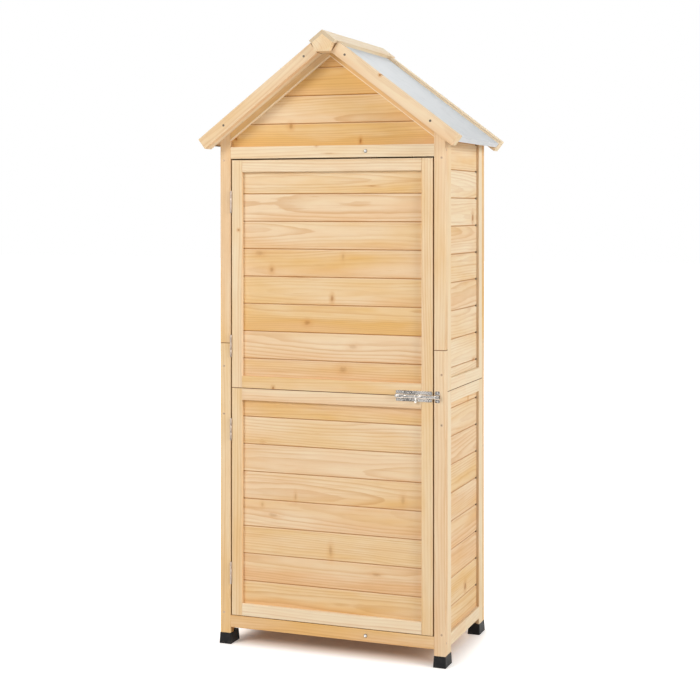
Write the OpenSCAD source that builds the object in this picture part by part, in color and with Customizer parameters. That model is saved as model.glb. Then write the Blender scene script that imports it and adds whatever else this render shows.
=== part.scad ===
// Tall narrow garden storage shed in softwood, with a pitched sheet-metal roof.
// Flat-pack frame-and-panel walls, one full-height door made of two joined halves,
// four butt hinges, a barrel bolt, half-width shelves beside a tool bay, plastic feet.
// Frame: X is the width, the front faces -Y, Z is up, the origin is on the floor
// under the middle of the shed.

/* [Body] */
// Width over the posts
body_w = 690; // [600:5:900]
// Depth over the front and back frames
body_d = 400; // [360:5:640]
// Height of the top of the front top rail
wall_h = 1456.5; // [1380:0.5:1600]
// Pitch of the roof in degrees
roof_pitch = 37.2; // [32:0.1:42]
// Height of the plastic feet
foot_h = 32.5; // [20:0.5:50]

/* [Lumber] */
// Face width of the posts and stiles
post_w = 33; // [29:1:38]
// Face width of the rails, rafters and inner uprights
stock_w = 35; // [30:1:45]
// Thickness of posts, stiles and rails
stock_t = 22; // [21.5:0.5:28]
// Planed-off arris along the edges of the lumber
arris = 1; // [0.4:0.1:1.4]
// Clearance left in every joint between two pieces of lumber
joint_fit = 0.2; // [0.1:0.05:0.4]

/* [Boards] */
// Visible height of one tongue-and-groove board
board_pitch = 80; // [60:1:110]
// Thickness of the boards
board_t = 9; // [8:0.5:10.5]
// Depth of the side and back boards behind the face of their frames
wall_recess = 9; // [5:0.5:10]
// Depth of the door's boards behind the face of its frame
door_recess = 10; // [5:0.5:10.5]
// Depth of the gables' boards behind the face of the rafters
gable_recess = 11; // [5:0.5:11.5]
// Depth of the groove in the frames that holds the boards
groove_d = 8; // [6:0.5:10]
// Length of the tongue along each board
tongue_l = 4; // [3:0.5:6]
// Thickness of the tongue along each board
tongue_t = 3; // [2.5:0.1:3.5]
// Depth of the V that is planed where two boards meet
vee = 2; // [1:0.1:2.4]

/* [Walls] */
// Height of the lower edge of the bottom rails
rail_z = 50; // [40:1:70]
// Height at which the front and back posts are split for packing
post_split = 882; // [820:1:950]
// Height at which the side walls are split into two panels
side_split = 766; // [700:1:810]
// Height of the first board joint above the lower side panel's bottom rail
side_low_first = 66; // [30:1:76]
// Height of the first board joint above the upper side panel's bottom rail
side_up_first = 25; // [20:1:70]
// Height of the middle of the lower cross rail in the back wall
back_rail_low = 560; // [500:1:640]
// Height of the middle of the upper cross rail in the back wall
back_rail_high = 873; // [860:1:940]
// Height of the first board joint above each rail of the back wall
back_first = 70; // [30:1:76]
// Height of the first board joint above the top rails, in the gables
gable_first = 64.5; // [30:0.5:76]
// Rise of the gable rafters' lower ends above the top rails
gable_rise = 18.75; // [12:0.25:26]

/* [Door] */
// Gap between the door and the posts
door_gap = 4; // [3.6:0.1:4.6]
// Gap under the door
door_gap_bottom = 2; // [1.5:0.1:5]
// Gap over the door
door_gap_top = 4; // [1.5:0.1:5]
// Height of the joint between the two halves of the door
door_split = 752; // [700:1:810]
// Thickness of the door
door_t = 21.5; // [20.5:0.5:22]
// Height of the first board joint above the lower half's bottom rail
door_low_first = 66.5; // [30:0.5:76]
// Height of the first board joint above the upper half's bottom rail
door_up_first = 51.5; // [30:0.5:76]
// Diameter of the dowels that join the two halves
dowel_d = 8; // [6:1:10]
// Length of the dowels
dowel_l = 40; // [30:1:50]

/* [Hinges] */
// Length of each butt hinge
hinge_l = 63; // [50:1:76]
// Distance from the end of each door half to the middle of its hinge
hinge_inset = 122; // [90:1:160]
// Thickness of a hinge leaf
leaf_t = 1.2; // [0.9:0.1:1.3]
// Width of a hinge leaf
leaf_w = 17; // [12:0.5:20]
// Diameter of the hinge knuckle
knuckle_d = 5.6; // [5:0.1:6]
// Diameter of the hinge pin
hinge_pin_d = 3; // [2.4:0.1:3.4]
// Number of screws in each hinge leaf
hinge_screw_n = 3; // [2:1:4]

/* [Bolt] */
// Length of the bolt's back plate
bolt_plate_l = 107; // [100:1:120]
// Height of the bolt's back plate
bolt_plate_h = 30; // [28:1:36]
// Distance from the door's edge to the end of the back plate
bolt_edge = 1; // [0:0.5:6]
// Diameter of the sliding rod
bolt_rod_d = 10; // [8:0.5:11]
// Thickness of the pressed plate and loops
bolt_metal = 1.4; // [1:0.1:1.8]
// Distance that the rod still travels into the keep from rest
bolt_reach = 7.5; // [6:0.5:9]
// Distance that the rod can be drawn back from the keep
bolt_draw = 16; // [10:0.5:18]

/* [Roof] */
// Overhang of the barge boards in front of and behind the walls
verge = 44; // [36:1:60]
// Distance from the shed's middle to the lower end of a barge board's top edge
eave_x = 395.5; // [380:0.5:520]
// Distance from the shed's middle to the upper end of a barge board's top edge
barge_top_x = 43; // [42:0.5:50]
// Width of the barge boards, square to the slope
barge_w = 35; // [30:1:45]
// Depth of the verge rafters' top below the barge boards' top
verge_drop = 2.5; // [1:0.5:5]
// Depth of the metal sheet's top below the barge boards' top
sheet_drop = 8; // [6:0.5:10]
// Thickness of the metal sheet
sheet_t = 0.8; // [0.5:0.1:1.2]
// Depth of the sheet's folded edge at the eave
drip_h = 14; // [12:0.5:20]
// Length of the ridge beam that stands out beyond the barge boards
ridge_out = 16; // [8:1:24]
// Thickness of the ridge cap boards
cap_t = 10; // [8:0.5:12]
// Half of the width of the ridge cap over both boards
cap_x = 39.5; // [37:0.1:41]
// Distance that the cap boards stand out over the ridge beam's shoulders
cap_over = 2; // [1.5:0.1:3]

/* [Inside] */
// Distance from the shed's middle to the middle of the inner uprights
upright_x = 109; // [40:1:140]
// Height of the lower shelf's top
shelf_low_z = 420; // [300:5:480]
// Height between the tops of two shelves
shelf_step = 330; // [260:5:360]
// Thickness of the shelf slats
slat_t = 12; // [10:0.5:16]
// Number of slats in each shelf
slat_n = 4; // [3:1:5]
// Gap between the slats of a shelf
slat_gap = 8; // [5:1:12]
// Width and height of the bearers under the shelves and the floor
bearer = 20; // [18:1:22]

/* [Fasteners] */
// Diameter of the countersunk screw heads
screw_head_d = 7; // [6:0.5:8]
// Diameter of the screw shanks
screw_d = 3.6; // [3:0.1:4]
// Diameter of the round heads on the rails
rail_bolt_d = 10; // [8:0.5:12]
// Diameter of the small screws' heads in the hinges
hinge_head_d = 5.2; // [4.4:0.1:5.6]
// Diameter of the small screws' shanks
small_screw_d = 2.8; // [2.2:0.1:3]

/* [Hidden] */
$fn = 48;

fir = "#ecd0a0";
fir_board = "#e2bd88";
fir_shade = "#d9b27c";
metal_sheet = "#d5d8da";
chrome = "#c9cdd0";
rubber_black = "#1d1d1f";
screw_dark = "#4a4036";

// Overshoot that lets a cut pass through a face
eps = 1;
// Clearance of a board inside the grooves
board_fit = 0.2;
// Gap between two neighbouring boards
board_gap = 0.4;
// Depth that a board enters its groove
board_in = groove_d - 0.5;
// Height over which a tongue or rail end enters its groove
tenon_in = groove_d - 0.3;
half_w = body_w / 2;
half_d = body_d / 2;
post_in = half_w - post_w;
wall_in = half_w - stock_t;
side_l = body_d - 2 * stock_t;
rail_top_z = rail_z + stock_w;
top_rail_z = wall_h - stock_w;

// Roof lines, measured in the slope's own frame: u runs down the slope from the point
// where the barge boards' top edges would meet, v stands square to it.
roof_drop = sheet_drop + sheet_t;
deck_bottom = roof_drop + board_t;
rafter_bottom = deck_bottom + stock_w;
// Height at which the barge boards' top edges would meet
roof_apex = wall_h + gable_rise + post_in * tan(roof_pitch) + rafter_bottom / cos(roof_pitch);
barge_u0 = barge_top_x / cos(roof_pitch);
barge_u1 = eave_x / cos(roof_pitch);
barge_t = verge / 2;

// Ridge: the caps lie in the plane of the metal sheets
cap_under = roof_apex - sheet_drop / cos(roof_pitch);
// Lower outer corner of a cap board
cap_low_x = cap_x - cap_t * sin(roof_pitch);
cap_low_z = cap_under - cap_low_x * tan(roof_pitch);
// The beam's shoulder, where its leaning side meets the underside of the cap
shoulder_x = cap_low_x - cap_over;
shoulder_z = cap_under - shoulder_x * tan(roof_pitch);
// The beam's sides lean inwards, down to a bottom face of this half width
beam_bottom_x = 22;
beam_side_h = 24.5;
beam_bottom_z = shoulder_z - beam_side_h;
ridge_half = half_d + verge + ridge_out;
// Upper edge of the sheets, tucked under the caps beside the beam's shoulders
ridge_fit = 0.5;
sheet_u0 = (shoulder_x + ridge_fit + sheet_drop * sin(roof_pitch)) / cos(roof_pitch);
// Upper edge of the deck, where its underside meets the beam's leaning side
beam_lean = (shoulder_x - beam_bottom_x) / beam_side_h;
deck_rise = roof_apex - deck_bottom / cos(roof_pitch) - beam_bottom_z;
deck_x = (beam_bottom_x + beam_lean * deck_rise) / (1 + beam_lean * tan(roof_pitch));
deck_u0 = (deck_x + ridge_fit + deck_bottom * sin(roof_pitch)) / cos(roof_pitch);

door_x0 = -post_in + door_gap;
door_x1 = post_in - door_gap;
door_w = door_x1 - door_x0;
door_z0 = rail_top_z + door_gap_bottom;
door_z1 = top_rail_z - door_gap_top;
// Half of the fine gap where the two halves of the door meet
door_join = 0.2;
lower_h = door_split - door_join - door_z0;
upper_h = door_z1 - door_split - door_join;
front_y = -half_d;

// Hinge axis, just proud of the front face in the middle of the left gap
hinge_x = -post_in + door_gap / 2;
hinge_proud = 2.2;
hinge_y = front_y - hinge_proud;
// Front edge of the leaves, and how far the folded knuckles reach behind the face
leaf_y = front_y + 1;
knuckle_root = front_y + 2;
// Distance from a leaf's end to its first screw
leaf_screw_end = 7;
hinge_z = [door_z0 + hinge_inset, door_split - hinge_inset,
    door_split + hinge_inset, door_z1 - hinge_inset];
knuckle_gap = 0.3;
pin_fit = 0.1;
// Height of a pin's heads and how much wider they are than the pin
pin_head_h = 1;
pin_head_wide = 1.2;

// Bolt: the rod lies along X in front of the joint between the door's halves
rod_clear = 0.3;
loop_r = bolt_rod_d / 2 + rod_clear;
rod_y = front_y - bolt_metal - loop_r;
plate_x1 = door_x1 - bolt_edge;
plate_x0 = plate_x1 - bolt_plate_l;
plate_corner = 3;
keep_w = 14;
keep_inset = 3;
keep_x0 = post_in + keep_inset;
// At rest the rod's tip stands just clear of the keep, so that the door can swing
tip_clear = 0.5;
rod_tip = keep_x0 - tip_clear;
// The loops stand back from the plate's ends by these margins
plate_margin_left = 1;
plate_margin_right = 15;
loop_left_x0 = plate_x0 + plate_margin_left;
loop_left_w = 25;
loop_right_x1 = plate_x1 - plate_margin_right;
loop_right_w = 20;
loop_right_x0 = loop_right_x1 - loop_right_w;
knob_w = 8;
// At rest the knob stands off the right loop by what the rod still has to travel
knob_x = loop_right_x0 - bolt_reach - rod_clear - knob_w / 2;
// The rod's back end stays in the left loop when the rod is shot
rod_hold = 3;
rod_back = loop_left_x0 + loop_left_w - bolt_reach - rod_hold;
// Depth of the neck in which the knob's collar runs
neck_depth = 1.5;
rod_neck_d = bolt_rod_d - 2 * neck_depth;
neck_fit = 0.1;

upright_x0 = upright_x - stock_w / 2;
floor_z = rail_top_z;
// The slats start this far past the upright's edge and stop short of the wall
slat_inset = 3;
slat_fit = 1;
shelf_x0 = upright_x0 + slat_inset;
shelf_x1 = wall_in - slat_fit;
shelf_y = side_l / 2 - stock_t;
bearer_out_x = wall_in - bearer;
shelf_tops = [shelf_low_z, shelf_low_z + shelf_step, shelf_low_z + 2 * shelf_step];

// Places of the screws on the front and back posts, as heights
post_screw_top = top_rail_z - 4;
post_screws = [92, 674, 814, post_screw_top];
post_screw_edge = 11.5;
post_screw_x = half_w - post_screw_edge;
rail_screws_front = [rail_z + stock_w / 2, top_rail_z + stock_w / 2];
rail_screws_back = [rail_z + stock_w / 2, back_rail_low, back_rail_high, top_rail_z + stock_w / 2];
rail_screw_y = half_d - stock_t / 2;
// Distances of the barge boards' screws from the ridge, down the slope
barge_screw_u = [91.5, 408];
post_screw_l = 42;
rail_screw_l = 60;
barge_screw_l = 36;
hinge_screw_l = 16;
// Length of the round-headed screws below their heads
rail_bolt_l = 42;
rail_bolt_shank = 4.5;
rail_bolt_head_h = 3.3;
// Clearance round a screw in its bore, and below its tip
bore_fit = 0.1;
bore_end = 0.5;
// Height of the straight rim of a countersunk head
screw_rim = 0.5;
// Length of a screw's point
screw_point = 2;

// A rectangle from the origin with a planed arris at each corner
module arris_square(a, b) {
    polygon([
        [arris, 0], [a - arris, 0], [a, arris], [a, b - arris],
        [a - arris, b], [arris, b], [0, b - arris], [0, arris]
    ]);
}

// Turns an outline drawn in Y and Z, extruded along Z, so that it runs along X
module along_x(l) {
    rotate([90, 0, 90])
    linear_extrude(height = l)
    children();
}

// Turns an outline drawn in Z and X, extruded along Z, so that it runs along Y
module along_y(l) {
    rotate([90, 0, 90])
    rotate([90, 0, 90])
    linear_extrude(height = l)
    children();
}

// Bars of lumber between two corners, with their four long edges planed
module bar_x(p0, p1) {
    translate(p0)
    along_x(p1[0] - p0[0])
    arris_square(p1[1] - p0[1], p1[2] - p0[2]);
}

module bar_y(p0, p1) {
    translate(p0)
    along_y(p1[1] - p0[1])
    arris_square(p1[2] - p0[2], p1[0] - p0[0]);
}

module bar_z(p0, p1) {
    translate(p0)
    linear_extrude(height = p1[2] - p0[2])
    arris_square(p1[0] - p0[0], p1[1] - p0[1]);
}

// A plain block between two corners, for cuts
module block(p0, p1) {
    translate(p0)
    cube(p1 - p0);
}

// Both halves of what is mirrored about the middle of the shed
module both_sides() {
    children();
    mirror([1, 0, 0])
    children();
}

module both_ends() {
    children();
    mirror([0, 1, 0])
    children();
}

// The right-hand slope's frame: children are drawn in u, y, v
module on_slope() {
    translate([0, 0, roof_apex])
    rotate([0, roof_pitch, 0])
    children();
}

// Everything above the underside of the roof deck, on both slopes
module above_deck() {
    reach = body_d;
    both_sides()
    on_slope()
    block([-reach, -reach, -deck_bottom], [body_w + reach, reach, reach]);
}

// Outline of one tongue-and-groove board in depth and height. The face is at depth 0.
// A joint below gives the board a groove and a joint above gives it a tongue.
module board_outline(z0, z1, joint_below, joint_above) {
    lo = z0 + (joint_below ? board_gap / 2 : 0);
    hi = z1 - (joint_above ? board_gap / 2 : 0);
    v0 = joint_below ? vee : 0;
    v1 = joint_above ? vee : 0;
    t0 = (board_t + vee - tongue_t) / 2;
    t1 = t0 + tongue_t;
    difference() {
        union() {
            polygon([
                [0, lo + v0], [v0, lo], [board_t, lo], [board_t, hi], [v1, hi], [0, hi - v1]
            ]);
            if (joint_above) translate([t0, hi - eps])
                square([tongue_t, tongue_l + eps]);
        }
        if (joint_below) translate([t0 - board_fit, lo - eps])
            square([tongue_t + 2 * board_fit, tongue_l + board_fit + board_gap + eps]);
    }
}

// Least face of the last board that is still worth fitting
least_face = 3;

// A field of boards l wide between z0 and z1, with its first joint at z_first and its
// face at the given depth behind the frame's face
module board_field(l, z0, z1, z_first, depth) {
    least = board_in + tongue_l + least_face;
    joints = [for (z = z_first; z < z1 - least; z = z + board_pitch) z];
    edges = concat([z0], joints, [z1]);
    last = len(edges) - 2;
    for (i = [0:last]) translate([-l / 2, depth, 0])
        along_x(l)
        board_outline(edges[i], edges[i + 1], i > 0, i < last);
}

// The groove that a frame member carries for boards at the given depth
module groove(x0, x1, z0, z1, depth) {
    block([x0, depth - board_fit, z0], [x1, depth + board_t + board_fit, z1]);
}

// Panels are drawn with their face at depth 0, centred on X, from z = 0 upwards.
// The two upright stiles of a panel w wide and h high
module panel_stiles(w, h, t, depth) {
    both_sides()
    difference() {
        bar_z([w / 2 - post_w, 0, 0], [w / 2, t, h]);
        groove(w / 2 - post_w - eps, w / 2 - post_w + groove_d, -eps, h + eps, depth);
    }
}

// One cross rail with stub tenons, grooved below, above or on both edges
module panel_rail(w, z0, z1, t, depth, groove_below, groove_above) {
    inner = w / 2 - post_w - joint_fit;
    tenon_x = w / 2 - post_w + tenon_in;
    difference() {
        union() {
            bar_x([-inner, 0, z0], [inner, t, z1]);
            block([-tenon_x, depth, z0], [tenon_x, depth + board_t, z1]);
        }
        if (groove_above) groove(-w / 2, w / 2, z1 - groove_d, z1 + eps, depth);
        if (groove_below) groove(-w / 2, w / 2, z0 - eps, z0 + groove_d, depth);
    }
}

// The boards of a panel's opening between the rails' inner edges
module panel_boards(w, z0, z1, z_first, depth) {
    field_w = w - 2 * post_w + 2 * board_in;
    board_field(field_w, z0 - board_in, z1 + board_in, z_first, depth);
}

// Screws: a countersunk head flush with the face at z = 0 and a shank below it
module screw(l, head = screw_head_d, shank = screw_d) {
    neck = screw_rim + (head - shank) / 2;
    rotate_extrude() polygon([
        [0, 0], [head / 2, 0], [head / 2, -screw_rim],
        [shank / 2, -neck], [shank / 2, -l + screw_point], [0, -l]
    ]);
}

// The bore of such a screw, with its countersink
module screw_bore(l, head = screw_head_d, shank = screw_d) {
    r0 = head / 2 + bore_fit;
    r1 = shank / 2 + bore_fit;
    rim = screw_rim + bore_fit;
    end = l + bore_end;
    rotate_extrude() polygon([
        [0, eps], [r0, eps], [r0, -rim], [r1, -rim - r0 + r1], [r1, -end], [0, -end]
    ]);
}

// A small screw whose domed head stands on the face at z = 0
module dome_screw(l, head, shank, h) {
    r = head / 2;
    rotate_extrude() polygon([
        [0, -l], [shank / 2, -l + screw_point], [shank / 2, 0], [r, 0], [r, 0.25 * h],
        [r * 0.86, 0.62 * h], [r * 0.55, 0.88 * h], [0, h]
    ]);
}

module round_bore(l, shank) {
    translate([0, 0, -l - bore_end])
    cylinder(d = shank + 2 * bore_fit, h = l + bore_end + eps);
}

// The screws through the front and back posts into the side panels' stiles
module at_post_screws() {
    both_ends()
    both_sides()
    for (z = post_screws) translate([post_screw_x, front_y, z])
        rotate([90, 0, 0])
        children();
}

// The side screws through the posts into the ends of the rails
module at_rail_screws() {
    both_sides() {
        for (z = rail_screws_front) translate([half_w, -rail_screw_y, z])
            rotate([0, 90, 0])
            children();
        for (z = rail_screws_back) translate([half_w, rail_screw_y, z])
            rotate([0, 90, 0])
            children();
    }
}

// The screws through the barge boards into the verge rafters
module at_barge_screws() {
    both_ends()
    both_sides()
    on_slope()
    for (u = barge_screw_u) translate([u, -half_d - verge, -barge_w / 2])
        rotate([90, 0, 0])
        children();
}

// The small screws of the hinge leaves, driven sideways in a column per hinge
module at_leaf_screws(x, turn) {
    span = hinge_l - 2 * leaf_screw_end;
    for (z = hinge_z, i = [0:hinge_screw_n - 1])
        translate([x, leaf_y + leaf_w / 2, z - span / 2 + i * span / (hinge_screw_n - 1)])
        rotate([0, turn, 0])
        children();
}

module at_frame_leaf_screws() {
    at_leaf_screws(-post_in + leaf_t, 90)
    children();
}

module at_door_leaf_screws() {
    at_leaf_screws(door_x0 - leaf_t, -90)
    children();
}

module leaf_screw() {
    screw(hinge_screw_l, hinge_head_d, small_screw_d);
}

module leaf_screw_bore() {
    screw_bore(hinge_screw_l, hinge_head_d, small_screw_d);
}

// Right-hand post between two heights, against the front face
module post(z0, z1) {
    difference() {
        bar_z([post_in, front_y, z0], [half_w, front_y + stock_t, z1]);
        above_deck();
        at_post_screws() screw_bore(post_screw_l);
        at_rail_screws() screw_bore(rail_screw_l);
    }
}

// A height above every post, for lumber that the roof's slope then cuts
post_top = roof_apex;

module front_post_lower_left() {
    color(fir)
    difference() {
        mirror([1, 0, 0])
        post(foot_h, post_split);
        at_frame_leaf_screws() leaf_screw_bore();
    }
}

module front_post_lower_right() {
    color(fir)
    difference() {
        post(foot_h, post_split);
        at_keep_screws() round_bore(bolt_screw_l, small_screw_d);
    }
}

module front_post_upper_left() {
    color(fir)
    difference() {
        mirror([1, 0, 0])
        post(post_split, post_top);
        at_frame_leaf_screws() leaf_screw_bore();
    }
}

module front_post_upper_right() {
    color(fir)
    post(post_split, post_top);
}

module front_rail_bottom() {
    color(fir)
    difference() {
        bar_x([-post_in, front_y, rail_z], [post_in, front_y + stock_t, rail_top_z]);
        at_rail_screws() screw_bore(rail_screw_l);
        at_rail_bolts() round_bore(rail_bolt_l, rail_bolt_shank);
    }
}

module front_rail_top() {
    color(fir)
    difference() {
        bar_x([-post_in, front_y, top_rail_z], [post_in, front_y + stock_t, wall_h]);
        at_rail_screws() screw_bore(rail_screw_l);
        at_rail_bolts() round_bore(rail_bolt_l, rail_bolt_shank);
        translate([0, front_y, 0])
        groove(-body_w, body_w, wall_h - groove_d, wall_h + eps, gable_recess);
    }
}

// The ridge beam's outline, grown by a clearance
module beam_outline(c) {
    top = roof_apex;
    polygon([
        [-beam_bottom_x - c, beam_bottom_z - c], [beam_bottom_x + c, beam_bottom_z - c],
        [shoulder_x + c, shoulder_z], [shoulder_x + c, top],
        [-shoulder_x - c, top], [-shoulder_x - c, shoulder_z]
    ]);
}

// Room for the ridge beam in the front gable
module beam_notch() {
    translate([0, front_y - eps, 0])
    rotate([90, 0, 180])
    linear_extrude(height = stock_t + 2 * eps)
    beam_outline(joint_fit);
}

// The front gable's sloping rafters, notched at the top for the ridge beam
module gable_rafters_front() {
    color(fir)
    both_sides()
    difference() {
        intersection() {
            on_slope()
            bar_x([-body_w, front_y, -rafter_bottom], [body_w, front_y + stock_t, -deck_bottom]);
            block([joint_fit / 2, front_y - eps, wall_h], [post_in, 0, roof_apex]);
        }
        on_slope()
        translate([0, front_y, 0])
        groove(-body_w, body_w, -rafter_bottom - eps, -rafter_bottom + groove_d, gable_recess);
        beam_notch();
    }
}

// The gable's boards, cut to the slope inside the rafters' grooves and below the beam
module gable_boards_front() {
    color(fir_shade)
    intersection() {
        translate([0, front_y, 0])
        board_field(2 * post_in - 2 * joint_fit, wall_h - board_in, roof_apex,
            wall_h + gable_first, gable_recess);
        difference() {
            block([-body_w, front_y, 0], [body_w, 0, roof_apex]);
            both_sides()
            on_slope()
            block([-body_w, front_y - eps, -rafter_bottom + board_in], [body_w, 0, body_w]);
            beam_notch();
        }
    }
}

module gable_rafters_back() {
    mirror([0, 1, 0])
    gable_rafters_front();
}

module gable_boards_back() {
    mirror([0, 1, 0])
    gable_boards_front();
}

// Back posts, split at the same height as the front ones and grooved for the boards
module back_post_right() {
    color(fir)
    mirror([0, 1, 0])
    difference() {
        union() {
            post(foot_h, post_split - joint_fit);
            post(post_split, post_top);
        }
        mirror([0, 1, 0])
        at_rail_screws() screw_bore(rail_screw_l);
        translate([0, front_y, 0])
        groove(post_in - eps, post_in + groove_d, rail_z + eps, wall_h - eps, wall_recess);
    }
}

module back_post_left() {
    mirror([1, 0, 0])
    back_post_right();
}

// The back wall's four cross rails, grooved for the boards between them
module back_rails() {
    h = stock_w / 2;
    color(fir)
    mirror([0, 1, 0])
    difference() {
        for (z = rail_screws_back)
            bar_x([-post_in, front_y, z - h], [post_in, front_y + stock_t, z + h]);
        mirror([0, 1, 0])
        at_rail_screws() screw_bore(rail_screw_l);
        translate([0, front_y, 0]) {
            for (i = [0:2]) {
                low = rail_screws_back[i] + h;
                high = rail_screws_back[i + 1] - h;
                groove(-body_w, body_w, low - groove_d, low + eps, wall_recess);
                groove(-body_w, body_w, high - eps, high + groove_d, wall_recess);
            }
            groove(-body_w, body_w, wall_h - groove_d, wall_h + eps, gable_recess);
        }
    }
}

module back_boards() {
    h = stock_w / 2;
    color(fir_board)
    mirror([0, 1, 0])
    translate([0, front_y, 0])
    for (i = [0:2]) {
        low = rail_screws_back[i] + h;
        high = rail_screws_back[i + 1] - h;
        board_field(2 * post_in + 2 * board_in, low - board_in, high + board_in,
            low + back_first, wall_recess);
    }
}

// Puts a panel on the right-hand wall, facing outwards
module on_right() {
    translate([half_w, 0, 0])
    rotate([0, 0, 90])
    children();
}

side_low_h = side_split - joint_fit;

// Lower side panel's frame, whose stiles stand on the feet
module side_frame_lower_right() {
    color(fir)
    difference() {
        on_right() {
            translate([0, 0, foot_h])
            panel_stiles(side_l, side_low_h - foot_h, stock_t, wall_recess);
            panel_rail(side_l, rail_z, rail_top_z, stock_t, wall_recess, false, true);
            panel_rail(side_l, side_low_h - stock_w, side_low_h, stock_t, wall_recess, true, false);
        }
        at_post_screws() screw_bore(post_screw_l);
    }
}

module side_boards_lower_right() {
    color(fir_board)
    on_right()
    panel_boards(side_l, rail_top_z, side_low_h - stock_w, rail_top_z + side_low_first,
        wall_recess);
}

// Height of the outer face of the upper side panel's top rail, and its lower edge
side_top_face = 26;
side_top_z = roof_apex - half_w * tan(roof_pitch) - deck_bottom / cos(roof_pitch) - side_top_face;
// A height for that rail before the roof's slope cuts it
side_top_h = 60;

// Upper side panel's frame, whose top is planed to the slope under the roof deck
module side_frame_upper_right() {
    color(fir)
    difference() {
        on_right() {
            translate([0, 0, side_split])
            panel_stiles(side_l, post_top - side_split, stock_t, wall_recess);
            panel_rail(side_l, side_split, side_split + stock_w, stock_t, wall_recess, false, true);
            panel_rail(side_l, side_top_z, side_top_z + side_top_h, stock_t, wall_recess, true, false);
        }
        above_deck();
        at_post_screws() screw_bore(post_screw_l);
    }
}

module side_boards_upper_right() {
    color(fir_board)
    on_right()
    panel_boards(side_l, side_split + stock_w, side_top_z, side_split + stock_w + side_up_first,
        wall_recess);
}

module side_frame_lower_left() {
    mirror([1, 0, 0])
    side_frame_lower_right();
}

module side_boards_lower_left() {
    mirror([1, 0, 0])
    side_boards_lower_right();
}

module side_frame_upper_left() {
    mirror([1, 0, 0])
    side_frame_upper_right();
}

module side_boards_upper_left() {
    mirror([1, 0, 0])
    side_boards_upper_right();
}

// The door: two framed halves, joined by dowels across the middle rails
module on_door(z) {
    translate([0, front_y, z])
    children();
}

module at_dowels() {
    for (x = [-door_w / 3, 0, door_w / 3]) translate([x, front_y + door_t / 2, door_split])
        children();
}

module dowel_bore() {
    cylinder(d = dowel_d + bore_fit, h = dowel_l + 2 * bore_end, center = true);
}

module cut_stile_bores() {
    difference() {
        children();
        at_door_leaf_screws() leaf_screw_bore();
        at_bolt_screws() round_bore(bolt_screw_l, small_screw_d);
    }
}

module door_stiles_lower() {
    color(fir)
    cut_stile_bores()
    on_door(door_z0)
    panel_stiles(door_w, lower_h, door_t, door_recess);
}

module door_rails_lower() {
    color(fir)
    difference() {
        on_door(door_z0) {
            panel_rail(door_w, 0, stock_w, door_t, door_recess, false, true);
            panel_rail(door_w, lower_h - stock_w, lower_h, door_t, door_recess, true, false);
        }
        at_dowels() dowel_bore();
        at_bolt_screws() round_bore(bolt_screw_l, small_screw_d);
    }
}

module door_boards_lower() {
    color(fir_board)
    on_door(door_z0)
    panel_boards(door_w, stock_w, lower_h - stock_w, stock_w + door_low_first, door_recess);
}

module door_stiles_upper() {
    color(fir)
    cut_stile_bores()
    on_door(door_split + door_join)
    panel_stiles(door_w, upper_h, door_t, door_recess);
}

module door_rails_upper() {
    color(fir)
    difference() {
        on_door(door_split + door_join) {
            panel_rail(door_w, 0, stock_w, door_t, door_recess, false, true);
            panel_rail(door_w, upper_h - stock_w, upper_h, door_t, door_recess, true, false);
        }
        at_dowels() dowel_bore();
        at_bolt_screws() round_bore(bolt_screw_l, small_screw_d);
    }
}

module door_boards_upper() {
    color(fir_board)
    on_door(door_split + door_join)
    panel_boards(door_w, stock_w, upper_h - stock_w, stock_w + door_up_first, door_recess);
}

module door_dowels() {
    color(fir_shade)
    at_dowels()
    cylinder(d = dowel_d, h = dowel_l, center = true);
}

// Hinges: each leaf is folded round the pin, the frame's at both ends of the knuckle
// and the door's in the middle.
module knuckle(z0, z1, leaf_x0, leaf_x1) {
    translate([0, 0, z0])
    difference() {
        union() {
            translate([hinge_x, hinge_y, 0])
            cylinder(d = knuckle_d, h = z1 - z0);
            block([leaf_x0, hinge_y, 0], [leaf_x1, knuckle_root, z1 - z0]);
        }
        translate([hinge_x, hinge_y, -eps])
        cylinder(d = hinge_pin_d + pin_fit, h = z1 - z0 + 2 * eps);
    }
}

module hinge_frame_leaves() {
    x0 = -post_in;
    color(chrome)
    difference() {
        for (z = hinge_z) {
            knuckle(z - hinge_l / 2, z - hinge_l / 6, x0, x0 + leaf_t);
            knuckle(z + hinge_l / 6, z + hinge_l / 2, x0, x0 + leaf_t);
            hinge_leaf(x0, z);
        }
        at_frame_leaf_screws() leaf_screw_bore();
    }
}

module hinge_leaf(x, z) {
    block([x, leaf_y, z - hinge_l / 2], [x + leaf_t, leaf_y + leaf_w, z + hinge_l / 2]);
}

module hinge_door_leaves() {
    x0 = door_x0 - leaf_t;
    color(chrome)
    difference() {
        for (z = hinge_z) {
            knuckle(z - hinge_l / 6 + knuckle_gap, z + hinge_l / 6 - knuckle_gap, x0, door_x0);
            hinge_leaf(x0, z);
        }
        at_door_leaf_screws() leaf_screw_bore();
    }
}

module hinge_pins() {
    color(chrome)
    for (z = hinge_z) translate([hinge_x, hinge_y, z - hinge_l / 2 - pin_head_h]) {
        cylinder(d = hinge_pin_d, h = hinge_l + 2 * pin_head_h);
        for (dz = [0, hinge_l + pin_head_h]) translate([0, 0, dz])
            cylinder(d = hinge_pin_d + pin_head_wide, h = pin_head_h);
    }
}

// A pressed loop w wide that guides the rod: a half-round bridge on two flat feet
module rod_loop(x0, w) {
    r = loop_r + bolt_metal;
    translate([x0, rod_y, door_split])
    rotate([90, 0, 90])
    linear_extrude(height = w)
    difference() {
        union() {
            circle(r = r);
            translate([0, -r])
            square([loop_r, 2 * r]);
        }
        circle(r = loop_r);
        translate([0, -loop_r])
        square([loop_r + eps, 2 * loop_r]);
    }
}

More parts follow.
